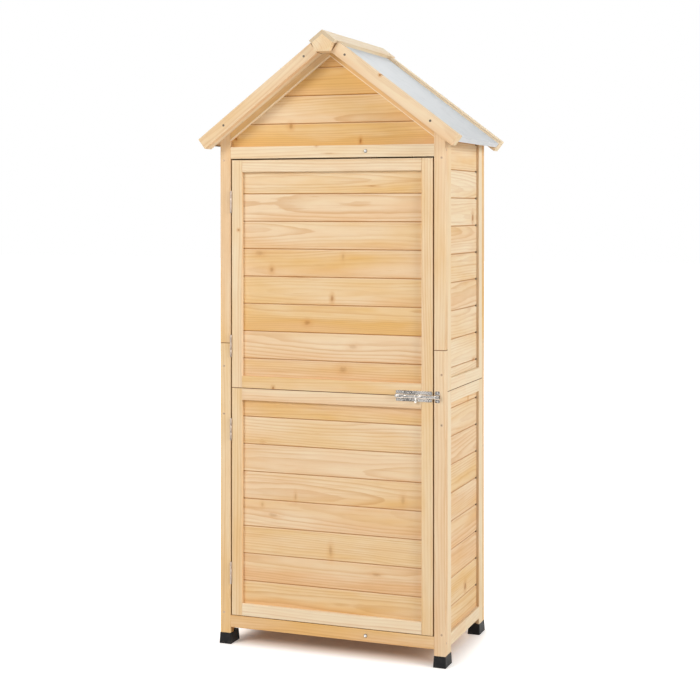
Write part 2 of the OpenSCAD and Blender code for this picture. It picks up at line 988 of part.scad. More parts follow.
// A flat plate against the front face with rounded corners
module face_plate(x0, x1, h) {
    r = plate_corner;
    translate([0, front_y, door_split])
    rotate([90, 0, 0])
    linear_extrude(height = bolt_metal) {
        translate([x0 + r, -h / 2])
        square([x1 - x0 - 2 * r, h]);
        translate([x0, -h / 2 + r])
        square([x1 - x0, h - 2 * r]);
        for (x = [x0 + r, x1 - r], z = [-h / 2 + r, h / 2 - r]) translate([x, z])
            circle(r = r);
    }
}

// Domed screws at the corners of the plate and above and below the keep's loop
bolt_screw_l = 14;
bolt_head_d = 5;
bolt_head_h = 1.5;
bolt_screw_edge = 4;
bolt_screw_z = bolt_plate_h / 2 - bolt_screw_edge;
bolt_screw_x = [plate_x0 + 22, plate_x1 - 6];
keep_h = 32;
keep_screw_edge = 4.5;
keep_screw_z = keep_h / 2 - keep_screw_edge;

module at_bolt_screws() {
    for (x = bolt_screw_x, z = [-bolt_screw_z, bolt_screw_z])
        translate([x, front_y - bolt_metal, door_split + z])
        rotate([90, 0, 0])
        children();
}

module at_keep_screws() {
    for (z = [-keep_screw_z, keep_screw_z])
        translate([keep_x0 + keep_w / 2, front_y - bolt_metal, door_split + z])
        rotate([90, 0, 0])
        children();
}

module bolt_screw() {
    dome_screw(bolt_screw_l, bolt_head_d, small_screw_d, bolt_head_h);
}

module bolt_plate() {
    color(chrome)
    difference() {
        union() {
            face_plate(plate_x0, plate_x1, bolt_plate_h);
            rod_loop(loop_left_x0, loop_left_w);
            rod_loop(loop_right_x0, loop_right_w);
        }
        at_bolt_screws() round_bore(bolt_screw_l, small_screw_d);
    }
}

// The rod, with a bullet-nosed tip and a neck in which the knob's collar turns
module bolt_rod() {
    nose = 2;
    bevel = 1;
    neck = knob_w / 2 + neck_fit;
    r = bolt_rod_d / 2;
    color(chrome)
    translate([0, rod_y, door_split])
    rotate([0, 90, 0])
    rotate_extrude() polygon([
        [0, rod_back], [r - bevel, rod_back], [r, rod_back + bevel],
        [r, knob_x - neck], [rod_neck_d / 2, knob_x - neck],
        [rod_neck_d / 2, knob_x + neck], [r, knob_x + neck],
        [r, rod_tip - nose], [r - nose, rod_tip], [0, rod_tip]
    ]);
}

// The knob: a collar on the rod's neck, a waisted stem and a rounded grip
module bolt_knob() {
    color(chrome)
    translate([knob_x, rod_y, door_split]) {
        difference() {
            union() {
                rotate([0, 90, 0])
                cylinder(d = bolt_rod_d, h = knob_w, center = true);
                rotate([180, 0, 0])
                rotate_extrude() polygon([
                    [0, 0], [3.6, 0], [3.6, 6], [2.4, 8.5], [2.4, 10.5],
                    [3.8, 12], [4, 13.5], [4, 16.5], [3.2, 18], [1.8, 18.8], [0, 19]
                ]);
            }
            rotate([0, 90, 0])
            cylinder(d = rod_neck_d + 2 * neck_fit, h = knob_w + 2 * eps, center = true);
        }
    }
}

module bolt_keep() {
    color(chrome)
    difference() {
        union() {
            face_plate(keep_x0, keep_x0 + keep_w, keep_h);
            rod_loop(keep_x0, keep_w);
        }
        at_keep_screws() round_bore(bolt_screw_l, small_screw_d);
    }
}

// Roof: barge boards outside, verge rafters behind them, deck boards and a metal sheet
module barge_front_right() {
    color(fir)
    difference() {
        on_slope()
        bar_x([barge_u0, -half_d - verge, -barge_w], [barge_u1, -half_d - verge + barge_t, 0]);
        at_barge_screws() screw_bore(barge_screw_l);
    }
}

module barge_front_left() {
    mirror([1, 0, 0])
    barge_front_right();
}

module barge_back_right() {
    mirror([0, 1, 0])
    barge_front_right();
}

module barge_back_left() {
    mirror([1, 0, 0])
    barge_back_right();
}

module verge_rafters_right() {
    color(fir_shade)
    both_ends()
    difference() {
        on_slope()
        bar_x([barge_u0, -half_d - verge + barge_t, -barge_w], [barge_u1, -half_d, -verge_drop]);
        at_barge_screws() screw_bore(barge_screw_l);
    }
}

module verge_rafters_left() {
    mirror([1, 0, 0])
    verge_rafters_right();
}

// Deck boards run from front to back and rest on the gables' rafters. The V between
// them faces the inside of the shed.
module roof_deck_right() {
    u1 = barge_u1 - sheet_t - board_fit;
    n = ceil((u1 - deck_u0) / board_pitch);
    color(fir_shade)
    on_slope()
    for (i = [0:n - 1]) {
        z0 = deck_u0 + i * board_pitch;
        z1 = min(z0 + board_pitch, u1);
        translate([0, half_d, -deck_bottom])
        rotate([90, 0, 0])
        linear_extrude(height = body_d)
        rotate(-90)
        mirror([1, 0])
        board_outline(z0, z1, i > 0, i < n - 1);
    }
}

module roof_deck_left() {
    mirror([1, 0, 0])
    roof_deck_right();
}

// The sheet lies on the deck under the edge of the cap and is folded down at the eave
module roof_sheet_right() {
    color(metal_sheet)
    on_slope()
    translate([0, half_d, 0])
    rotate([90, 0, 0])
    linear_extrude(height = body_d)
    polygon([
        [sheet_u0, -roof_drop], [barge_u1 - sheet_t, -roof_drop],
        [barge_u1 - sheet_t, -sheet_drop - drip_h], [barge_u1, -sheet_drop - drip_h],
        [barge_u1, -sheet_drop], [sheet_u0, -sheet_drop]
    ]);
}

module roof_sheet_left() {
    mirror([1, 0, 0])
    roof_sheet_right();
}

module ridge_beam() {
    color(fir)
    translate([0, ridge_half, 0])
    rotate([90, 0, 0])
    linear_extrude(height = 2 * ridge_half)
    polygon([
        [-beam_bottom_x, beam_bottom_z], [beam_bottom_x, beam_bottom_z],
        [shoulder_x, shoulder_z], [0, cap_under], [-shoulder_x, shoulder_z]
    ]);
}

module ridge_cap_right() {
    x0 = joint_fit / 2;
    under = cap_under - x0 * tan(roof_pitch);
    seat = 0.05;
    color(fir)
    translate([0, ridge_half, seat])
    rotate([90, 0, 0])
    linear_extrude(height = 2 * ridge_half)
    polygon([
        [x0, under], [cap_low_x, cap_low_z],
        [cap_x, cap_low_z + cap_t * cos(roof_pitch)],
        [x0, under + cap_t / cos(roof_pitch)]
    ]);
}

module ridge_cap_left() {
    mirror([1, 0, 0])
    ridge_cap_right();
}

// Feet: plastic shoes that spread towards the floor, with a straight rim at top and bottom
module feet() {
    lean = 2;
    lean_out = 1.2;
    rim = 2;
    wrap = 0.6;
    x0 = post_in - wrap;
    x1 = half_w + wrap;
    y1 = side_l / 2 - post_w - wrap;
    y0 = half_d + wrap;
    color(rubber_black)
    both_ends()
    both_sides()
    hull() {
        block([x0 - lean, -y0 - lean, 0], [x1 + lean_out, -y1 + lean, rim]);
        block([x0, -y0, foot_h - rim], [x1, -y1, foot_h]);
    }
}

// Inside: floor
module floor_boards() {
    n = floor(side_l / board_pitch);
    first = side_l - n * board_pitch;
    color(fir_board)
    difference() {
        translate([0, -side_l / 2, floor_z])
        rotate([-90, 0, 0])
        board_field(2 * wall_in, 0, side_l, first, 0);
        both_ends()
        block([upright_x0 - joint_fit, -side_l / 2 - eps, 0],
            [upright_x0 + stock_w + joint_fit, -side_l / 2 + stock_t + joint_fit, wall_h]);
    }
}

// Battens: three under the floor, and one under each end of every shelf
module batten(x, l, z1) {
    bar_y([x, -l / 2, z1 - bearer], [x + bearer, l / 2, z1]);
}

module battens() {
    inset = 5;
    color(fir) {
        for (x = [-wall_in, -bearer / 2, bearer_out_x]) batten(x, side_l, floor_z - board_t);
        for (z = shelf_tops) {
            batten(upright_x0 + inset, 2 * shelf_y, z - slat_t);
            batten(bearer_out_x, side_l, z - slat_t);
        }
    }
}

module inner_upright(y) {
    bar_z([upright_x0, y, rail_z], [upright_x0 + stock_w, y + stock_t, wall_h]);
}

module inner_upright_front() {
    color(fir)
    difference() {
        inner_upright(-side_l / 2);
        at_rail_bolts() round_bore(rail_bolt_l, rail_bolt_shank);
    }
}

module inner_upright_back() {
    color(fir)
    inner_upright(side_l / 2 - stock_t);
}

// One shelf of slats, lying on its battens between the front and back uprights
module shelf(z) {
    span = 2 * shelf_y - 2 * joint_fit;
    w = (span - (slat_n - 1) * slat_gap) / slat_n;
    color(fir_board)
    for (i = [0:slat_n - 1]) {
        y = -span / 2 + i * (w + slat_gap);
        bar_x([shelf_x0, y, z - slat_t], [shelf_x1, y + w, z]);
    }
}

module shelf_lower() {
    shelf(shelf_tops[0]);
}

module shelf_middle() {
    shelf(shelf_tops[1]);
}

module shelf_upper() {
    shelf(shelf_tops[2]);
}

// Fasteners
module frame_screws() {
    color(screw_dark) {
        at_post_screws() screw(post_screw_l);
        at_rail_screws() screw(rail_screw_l);
        at_barge_screws() screw(barge_screw_l);
    }
}

module at_rail_bolts() {
    for (z = rail_screws_front) translate([upright_x, front_y, z])
        rotate([90, 0, 0])
        children();
}

// Silver screws in the fixed frame: rails to upright, keep and hinge leaves
module bright_screws() {
    color(chrome) {
        at_rail_bolts() dome_screw(rail_bolt_l, rail_bolt_d, rail_bolt_shank, rail_bolt_head_h);
        at_keep_screws() bolt_screw();
        at_frame_leaf_screws() leaf_screw();
    }
}

// Silver screws that swing with the door: bolt plate and hinge leaves
module door_screws() {
    color(chrome) {
        at_bolt_screws() bolt_screw();
        at_door_leaf_screws() leaf_screw();
    }
}

front_post_lower_left();
front_post_lower_right();
front_post_upper_left();
front_post_upper_right();
front_rail_bottom();
front_rail_top();
gable_rafters_front();
gable_boards_front();
back_post_left();
back_post_right();
back_rails();
back_boards();
gable_rafters_back();
gable_boards_back();
side_frame_lower_left();
side_boards_lower_left();
side_frame_upper_left();
side_boards_upper_left();
side_frame_lower_right();
side_boards_lower_right();
side_frame_upper_right();
side_boards_upper_right();
door_stiles_lower();
door_rails_lower();
door_boards_lower();
door_stiles_upper();
door_rails_upper();
door_boards_upper();
door_dowels();
hinge_frame_leaves();
hinge_door_leaves();
hinge_pins();
bolt_plate();
bolt_rod();
bolt_knob();
bolt_keep();
barge_front_left();
barge_front_right();
barge_back_left();
barge_back_right();
verge_rafters_left();
verge_rafters_right();
roof_deck_left();
roof_deck_right();
roof_sheet_left();
roof_sheet_right();
ridge_beam();
ridge_cap_left();
ridge_cap_right();
feet();
floor_boards();
battens();
inner_upright_front();
inner_upright_back();
shelf_lower();
shelf_middle();
shelf_upper();
frame_screws();
bright_screws();
door_screws();
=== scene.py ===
"""Looks of the garden tool shed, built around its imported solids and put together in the
order in which the real shed is assembled: feet, frame, walls, inside, door, roof, screws."""

import math

import bmesh
import bpy
from mathutils import Matrix, Vector


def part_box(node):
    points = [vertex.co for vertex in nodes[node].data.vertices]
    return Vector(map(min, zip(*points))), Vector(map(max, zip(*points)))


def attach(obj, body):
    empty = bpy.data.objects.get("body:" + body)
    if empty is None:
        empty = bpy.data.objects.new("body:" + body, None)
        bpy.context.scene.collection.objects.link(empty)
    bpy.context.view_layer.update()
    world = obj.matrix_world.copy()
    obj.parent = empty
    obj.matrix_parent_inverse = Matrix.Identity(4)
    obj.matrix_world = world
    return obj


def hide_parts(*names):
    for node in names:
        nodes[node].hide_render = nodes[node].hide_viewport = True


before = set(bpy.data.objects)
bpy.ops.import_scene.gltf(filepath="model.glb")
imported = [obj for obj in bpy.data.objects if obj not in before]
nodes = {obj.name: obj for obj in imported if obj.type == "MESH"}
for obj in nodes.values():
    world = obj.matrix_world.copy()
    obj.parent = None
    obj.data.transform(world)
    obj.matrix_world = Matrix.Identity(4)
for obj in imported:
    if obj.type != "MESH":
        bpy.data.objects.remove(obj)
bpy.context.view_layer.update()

# The camera stands to the shed's right and a little above its middle, level, as in the
# photograph. Its picture is shifted down instead of the camera being tilted.
def add_object(name, data):
    """A new object in the scene."""
    made = bpy.data.objects.new(name, data)
    bpy.context.scene.collection.objects.link(made)
    return made


camera_data = bpy.data.cameras.new("photo_camera")
camera_data.lens = 75.48
camera_data.sensor_width = 36.0
camera_data.shift_y = -0.2021
camera_data.clip_end = 100.0
camera = add_object("photo_camera", camera_data)
camera.location = (1.5371, -4.0995, 1.2762)
camera.rotation_euler = (math.radians(90.0), 0.0, math.radians(20.719))
bpy.context.scene.camera = camera


# Feet: four black moulded shoes that spread towards the floor. The plastic is matt with
# a fine spark-eroded texture, and it is scuffed and dusty near the ground.
def node(tree, kind, inputs=None, **settings):
    """Adds a shader or geometry node, sets its options and fills or links its sockets."""
    made = tree.nodes.new(kind)
    for key, value in settings.items():
        setattr(made, key, value)
    for key, value in (inputs or {}).items():
        if isinstance(value, bpy.types.NodeSocket):
            tree.links.new(value, made.inputs[key])
        else:
            made.inputs[key].default_value = value
    return made


def calc(tree, operation, a, b=0.0, c=0.0):
    """One Math node's result."""
    return node(tree, "ShaderNodeMath", {0: a, 1: b, 2: c}, operation=operation).outputs[0]


def distance(tree, a, b):
    """How far one value is from another."""
    return calc(tree, "ABSOLUTE", calc(tree, "SUBTRACT", a, b))


def diagonal(tree, a, b):
    """The straight distance between places that lie a apart one way and b the other way."""
    return calc(tree, "SQRT", calc(tree, "ADD", calc(tree, "MULTIPLY", a, a), calc(tree, "MULTIPLY", b, b)))


def ease(tree, value, low, high, start=0.0, end=1.0):
    """A smooth step from start at low to end at high."""
    inputs = {"Value": value, "From Min": low, "From Max": high, "To Min": start, "To Max": end}
    made = node(tree, "ShaderNodeMapRange", inputs, interpolation_type="SMOOTHSTEP")
    return made.outputs["Result"]


def tint(tree, amount, a, b):
    """Colour a changed towards colour b by the given amount."""
    return node(tree, "ShaderNodeMix", {0: amount, 6: a, 7: b}, data_type="RGBA").outputs[2]


def noise(tree, place, scale, detail=2.0, roughness=0.5):
    """A Noise texture's value over a place given in metres."""
    inputs = {"Vector": place, "Scale": scale, "Detail": detail, "Roughness": roughness}
    return node(tree, "ShaderNodeTexNoise", inputs).outputs["Fac"]


def new_material(name):
    """An empty node material with its output, its Principled shader and object coordinates."""
    material = bpy.data.materials.new(name)
    material.use_nodes = True
    tree = material.node_tree
    tree.nodes.clear()
    shader = node(tree, "ShaderNodeBsdfPrincipled")
    output = node(tree, "ShaderNodeOutputMaterial")
    tree.links.new(shader.outputs[0], output.inputs["Surface"])
    place = node(tree, "ShaderNodeTexCoord").outputs["Object"]
    return material, tree, shader, place


def raise_surface(tree, shader, height, depth):
    """Feeds a height, 0 to 1, into the shader's normal at the given depth in metres."""
    bump = node(tree, "ShaderNodeBump", {"Height": height, "Distance": depth, "Strength": 1.0})
    tree.links.new(bump.outputs[0], shader.inputs["Normal"])


def dress(material, *names):
    """Puts a material into every slot of the named solids."""
    for name in names:
        for slot in nodes[name].material_slots:
            slot.material = material


def softened(name, material, width, segments=2):
    """A copy of a solid with its sharp edges rounded, in a material, which then stands for it."""
    mesh = nodes[name].data.copy()
    work = bmesh.new()
    work.from_mesh(mesh)
    bmesh.ops.remove_doubles(work, verts=work.verts, dist=1e-6)
    bmesh.ops.dissolve_limit(work, angle_limit=math.radians(0.5), verts=work.verts, edges=work.edges)
    work.to_mesh(mesh)
    work.free()
    mesh.materials.clear()
    mesh.materials.append(material)
    piece = add_object(name + "_finished", mesh)
    bevel = piece.modifiers.new("edges", "BEVEL")
    bevel.width = width
    bevel.segments = segments
    bevel.limit_method = "ANGLE"
    bevel.angle_limit = math.radians(25.0)
    bevel.harden_normals = True
    return piece


foot_plastic, tree, shader, place = new_material("foot_plastic")
height = node(tree, "ShaderNodeSeparateXYZ", {0: place}).outputs["Z"]
grit = noise(tree, place, 900.0, 4.0, 0.7)
scuffs = noise(tree, place, 55.0, 5.0, 0.75)
near_floor = ease(tree, height, 0.0, 0.014, 1.0, 0.0)
dusty = calc(tree, "MULTIPLY_ADD", near_floor, 0.6, 0.12)
dust = calc(tree, "MULTIPLY", ease(tree, scuffs, 0.45, 0.72), dusty)
black, dust_grey = (0.009, 0.009, 0.0095, 1.0), (0.075, 0.068, 0.062, 1.0)
tree.links.new(tint(tree, dust, black, dust_grey), shader.inputs["Base Color"])
tree.links.new(calc(tree, "MULTIPLY_ADD", dust, 0.25, 0.52), shader.inputs["Roughness"])
shader.inputs["Specular IOR Level"].default_value = 0.18
raise_surface(tree, shader, grit, 0.00015)
feet = softened("feet", foot_plastic, 0.0012, 3)
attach(feet, "shed")
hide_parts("feet")


# Posts and rails: planed fir lumber, 33 or 35 by 22 mm. Each front post is an upper and a
# lower length, butted at mid height; the back posts are made the same way.
def make_fir_grain():
    """Solid fir as a shader group: growth rings round a pith behind each board, fibres, broad
    bands of warmer heartwood and small knots. Place is in metres: X along the grain, Y
    across the face, Z from the face into the board."""
    group = bpy.data.node_groups.new("fir grain", "ShaderNodeTree")
    sides = [
        ("Place", "INPUT", "NodeSocketVector"), ("Board", "INPUT", "NodeSocketFloat"),
        ("Ring width", "INPUT", "NodeSocketFloat"), ("Grain", "INPUT", "NodeSocketFloat"),
        ("Warmth", "INPUT", "NodeSocketFloat"), ("Knots", "INPUT", "NodeSocketFloat"),
        ("Spread", "INPUT", "NodeSocketFloat"),
        ("Color", "OUTPUT", "NodeSocketColor"), ("Roughness", "OUTPUT", "NodeSocketFloat"),
        ("Height", "OUTPUT", "NodeSocketFloat"),
    ]
    for name, side, kind in sides:
        group.interface.new_socket(name, in_out=side, socket_type=kind)
    given = node(group, "NodeGroupInput").outputs
    along, across, deep = node(group, "ShaderNodeSeparateXYZ", {0: given["Place"]}).outputs
    luck = node(group, "ShaderNodeTexWhiteNoise", {"W": given["Board"]}, noise_dimensions="1D")
    luck_a, luck_b, luck_c = node(group, "ShaderNodeSeparateColor", {0: luck.outputs["Color"]}).outputs
    luck_d = luck.outputs["Value"]
    along = calc(group, "MULTIPLY_ADD", luck_a, 17.0, along)

    def stretched(sx, sy):
        scaled_x = calc(group, "MULTIPLY", along, sx)
        scaled_y = calc(group, "MULTIPLY", across, sy)
        scaled_z = calc(group, "MULTIPLY", deep, sy)
        return node(group, "ShaderNodeCombineXYZ", {0: scaled_x, 1: scaled_y, 2: scaled_z}).outputs[0]

    # Knots: sparse cells along the board, each with a knot of its own size
    cell_x, cell_y = 2.3, 11.0
    cells = node(group, "ShaderNodeTexVoronoi", {"Vector": stretched(cell_x, cell_y), "Scale": 1.0},
                 voronoi_dimensions="2D", feature="F1")
    knot_x, knot_y, _ = node(group, "ShaderNodeSeparateXYZ", {0: cells.outputs["Position"]}).outputs
    off_x = calc(group, "SUBTRACT", along, calc(group, "DIVIDE", knot_x, cell_x))
    off_y = calc(group, "SUBTRACT", across, calc(group, "DIVIDE", knot_y, cell_y))
    from_knot = diagonal(group, off_x, calc(group, "MULTIPLY", off_y, 0.72))
    ragged = noise(group, stretched(140.0, 140.0), 1.0, 2.0)
    from_knot = calc(group, "MULTIPLY", from_knot, calc(group, "MULTIPLY_ADD", ragged, 0.9, 0.55))
    pick, size, _ = node(group, "ShaderNodeSeparateColor", {0: cells.outputs["Color"]}).outputs
    there = calc(group, "LESS_THAN", pick, given["Knots"])
    radius = calc(group, "MULTIPLY_ADD", calc(group, "POWER", size, 2.0), 0.0065, 0.0022)
    rel = calc(group, "DIVIDE", from_knot, radius)
    knot = calc(group, "MULTIPLY", ease(group, rel, 0.65, 1.25, 1.0, 0.0), there)
    halo = calc(group, "MULTIPLY", ease(group, rel, 0.9, 4.2, 1.0, 0.0), there)

    # Growth rings round the pith, bent by slow waves and pushed aside by the knots
    slow = calc(group, "SUBTRACT", noise(group, stretched(1.0, 5.5), 1.0, 1.5), 0.5)
    medium = calc(group, "SUBTRACT", noise(group, stretched(6.0, 30.0), 1.0, 2.0), 0.5)
    fine = calc(group, "SUBTRACT", noise(group, stretched(30.0, 190.0), 1.0, 2.0), 0.5)
    pith_y = calc(group, "MULTIPLY_ADD", luck_b, 0.11, -0.055)
    pith_z = calc(group, "MULTIPLY_ADD", luck_c, 0.055, 0.012)
    reach = diagonal(group, calc(group, "SUBTRACT", across, pith_y), calc(group, "SUBTRACT", deep, pith_z))
    reach = calc(group, "MULTIPLY_ADD", slow, 0.062, reach)
    reach = calc(group, "MULTIPLY_ADD", medium, 0.0055, reach)
    reach = calc(group, "MULTIPLY_ADD", fine, 0.0009, reach)
    reach = calc(group, "MULTIPLY_ADD", halo, calc(group, "MULTIPLY", radius, 1.5), reach)
    years = calc(group, "DIVIDE", reach, given["Ring width"])
    years = calc(group, "MULTIPLY_ADD", luck_d, 90.0, years)
    year = calc(group, "FLOOR", years)
    season = calc(group, "SUBTRACT", years, year)
    strong = node(group, "ShaderNodeTexWhiteNoise", {"W": year}, noise_dimensions="1D").outputs["Value"]
    late = calc(group, "POWER", ease(group, season, 0.08, 0.90), 2.2)
    late = calc(group, "MULTIPLY", late, ease(group, season, 0.90, 1.0, 1.0, 0.0))
    late = calc(group, "MULTIPLY", late, calc(group, "MULTIPLY_ADD", strong, 0.75, 0.25))

    # Fibres, short resin flecks and broad warm bands
    fibres = noise(group, stretched(14.0, 620.0), 1.0, 3.0, 0.65)
    streaks = noise(group, stretched(2.2, 95.0), 1.0, 2.5, 0.6)
    flecks = noise(group, stretched(120.0, 1500.0), 1.0, 1.0, 0.5)
    bands = noise(group, stretched(0.9, 11.0), 1.0, 1.5, 0.5)
    bands = ease(group, calc(group, "MULTIPLY_ADD", luck_b, 0.22, bands), 0.52, 0.80)

    pale = (0.885, 0.735, 0.520, 1.0)
    golden = (0.785, 0.475, 0.170, 1.0)
    rosy = (0.805, 0.505, 0.268, 1.0)
    ring_brown = (0.600, 0.280, 0.080, 1.0)
    bark_brown = (0.200, 0.080, 0.030, 1.0)
    halo_brown = (0.640, 0.330, 0.130, 1.0)
    knot_brown = (0.470, 0.205, 0.075, 1.0)

    def stained(colour, pattern, share):
        """The colour with a brown pattern on it, as strong as the board's grain."""
        amount = calc(group, "MULTIPLY", pattern, calc(group, "MULTIPLY", given["Grain"], share))
        return tint(group, amount, colour, ring_brown)

    blotches = noise(group, stretched(5.0, 26.0), 1.0, 2.0, 0.55)
    heart = calc(group, "MULTIPLY_ADD", bands, 0.40, given["Warmth"])
    heart = calc(group, "MULTIPLY_ADD", calc(group, "SUBTRACT", luck_d, 0.5), given["Spread"], heart)
    heart = calc(group, "MULTIPLY_ADD", calc(group, "SUBTRACT", blotches, 0.5), 0.85, heart)
    heart = node(group, "ShaderNodeClamp", {"Value": heart}).outputs[0]
    flush = calc(group, "SUBTRACT", noise(group, stretched(1.7, 14.0), 1.0, 1.0, 0.5), 0.25)
    flush = ease(group, calc(group, "MULTIPLY_ADD", luck_c, 0.5, flush), 0.30, 0.75)
    resin = noise(group, stretched(7.0, 300.0), 1.0, 2.0, 0.5)
    colour = tint(group, heart, pale, tint(group, flush, golden, rosy))
    colour = stained(colour, late, 0.44)
    colour = stained(colour, ease(group, fibres, 0.50, 0.78), 0.19)
    colour = stained(colour, ease(group, streaks, 0.52, 0.78), 0.30)
    colour = stained(colour, ease(group, resin, 0.68, 0.76), 0.40)
    flecked = calc(group, "MULTIPLY", ease(group, flecks, 0.70, 0.80), calc(group, "MULTIPLY", late, 0.30))
    colour = tint(group, flecked, colour, bark_brown)
    colour = tint(group, calc(group, "MULTIPLY", halo, 0.45), colour, halo_brown)
    rim = calc(group, "MULTIPLY", ease(group, rel, 0.55, 0.95), knot)
    colour = tint(group, calc(group, "MULTIPLY", knot, 0.75), colour, knot_brown)
    colour = tint(group, calc(group, "MULTIPLY", rim, 0.45), colour, bark_brown)

    height = calc(group, "MULTIPLY_ADD", late, 0.45, calc(group, "MULTIPLY", fibres, 0.55))
    rough = calc(group, "MULTIPLY_ADD", fibres, 0.16, calc(group, "MULTIPLY_ADD", late, -0.12, 0.62))
    node(group, "NodeGroupOutput", {"Color": colour, "Roughness": rough, "Height": height})
    return group


fir_grain = make_fir_grain()
roof_pitch = math.radians(37.2)
roof_apex = 1.77835
# Colours for marks on the fir. The chamfer light and shade are painted light and shade on the joints'
# chamfers. The pit, arris and gap colours are painted shade, painted highlight and painted shade. The seam
# colour serves real butt joints and painted shadow beside a sheet's edge.
chamfer_light = (0.940, 0.780, 0.560, 1.0)
chamfer_shade = (0.600, 0.260, 0.060, 1.0)
crack_brown = (0.380, 0.120, 0.020, 1.0)
painted_pit_shade = (0.060, 0.026, 0.010, 1.0)
seam_and_shadow_dark = (0.150, 0.045, 0.008, 1.0)
resin_glow = (0.660, 0.300, 0.085, 1.0)
knot_heart = (0.400, 0.160, 0.045, 1.0)
painted_arris_highlight = (0.930, 0.790, 0.580, 1.0)
end_grain = (0.520, 0.390, 0.250, 1.0)
painted_gap_shade = (0.360, 0.165, 0.055, 1.0)


def slope_axes(tree, x, z):
    """How far a place lies down the roof's slope from the apex, and how far out of it."""
    run = calc(tree, "ABSOLUTE", x)
    rise = calc(tree, "SUBTRACT", z, roof_apex)
    down = calc(tree, "MULTIPLY", rise, -math.sin(roof_pitch))
    out = calc(tree, "MULTIPLY", rise, math.cos(roof_pitch))
    return (calc(tree, "MULTIPLY_ADD", run, math.cos(roof_pitch), down),
            calc(tree, "MULTIPLY_ADD", run, math.sin(roof_pitch), out))


def vee_joints(tree, colour, edge, above):
    """Colours the joints between boards: it paints light on the lower board's chamfer and
    shade on the upper board's, and makes the crack dark. edge is the distance to the
    board's nearer edge, and above is 1 in the board's upper half."""
    lit = calc(tree, "MULTIPLY", ease(tree, edge, 0.0016, 0.0046, 0.35, 0.0), above)
    colour = tint(tree, lit, colour, chamfer_light)
    shade = calc(tree, "MULTIPLY_ADD", above, -0.40, 0.62)
    shade = calc(tree, "MULTIPLY", ease(tree, edge, 0.0006, 0.0034, 1.0, 0.0), shade)
    colour = tint(tree, shade, colour, chamfer_shade)
    return tint(tree, ease(tree, edge, 0.0004, 0.0014, 0.45, 0.0), colour, crack_brown)


def placed_knots(tree, colour, place, along, across, marks):
    """Draws the knots of marks, each a dark heart with a glow of resin round it."""
    wander = calc(tree, "SUBTRACT", noise(tree, place, 130.0, 2.0), 0.5)
    for centre_x, centre_y, half_x, half_y, strength in marks:
        off_x = calc(tree, "DIVIDE", calc(tree, "SUBTRACT", along, centre_x), half_x)
        off_y = calc(tree, "DIVIDE", calc(tree, "SUBTRACT", across, centre_y), half_y)
        reach = calc(tree, "MULTIPLY_ADD", wander, 0.9, diagonal(tree, off_x, off_y))
        colour = tint(tree, ease(tree, reach, 0.6, 3.6, 0.70 * strength, 0.0), colour, resin_glow)
        colour = tint(tree, ease(tree, reach, 0.2, 1.5, strength, 0.0), colour, knot_heart)
    return colour


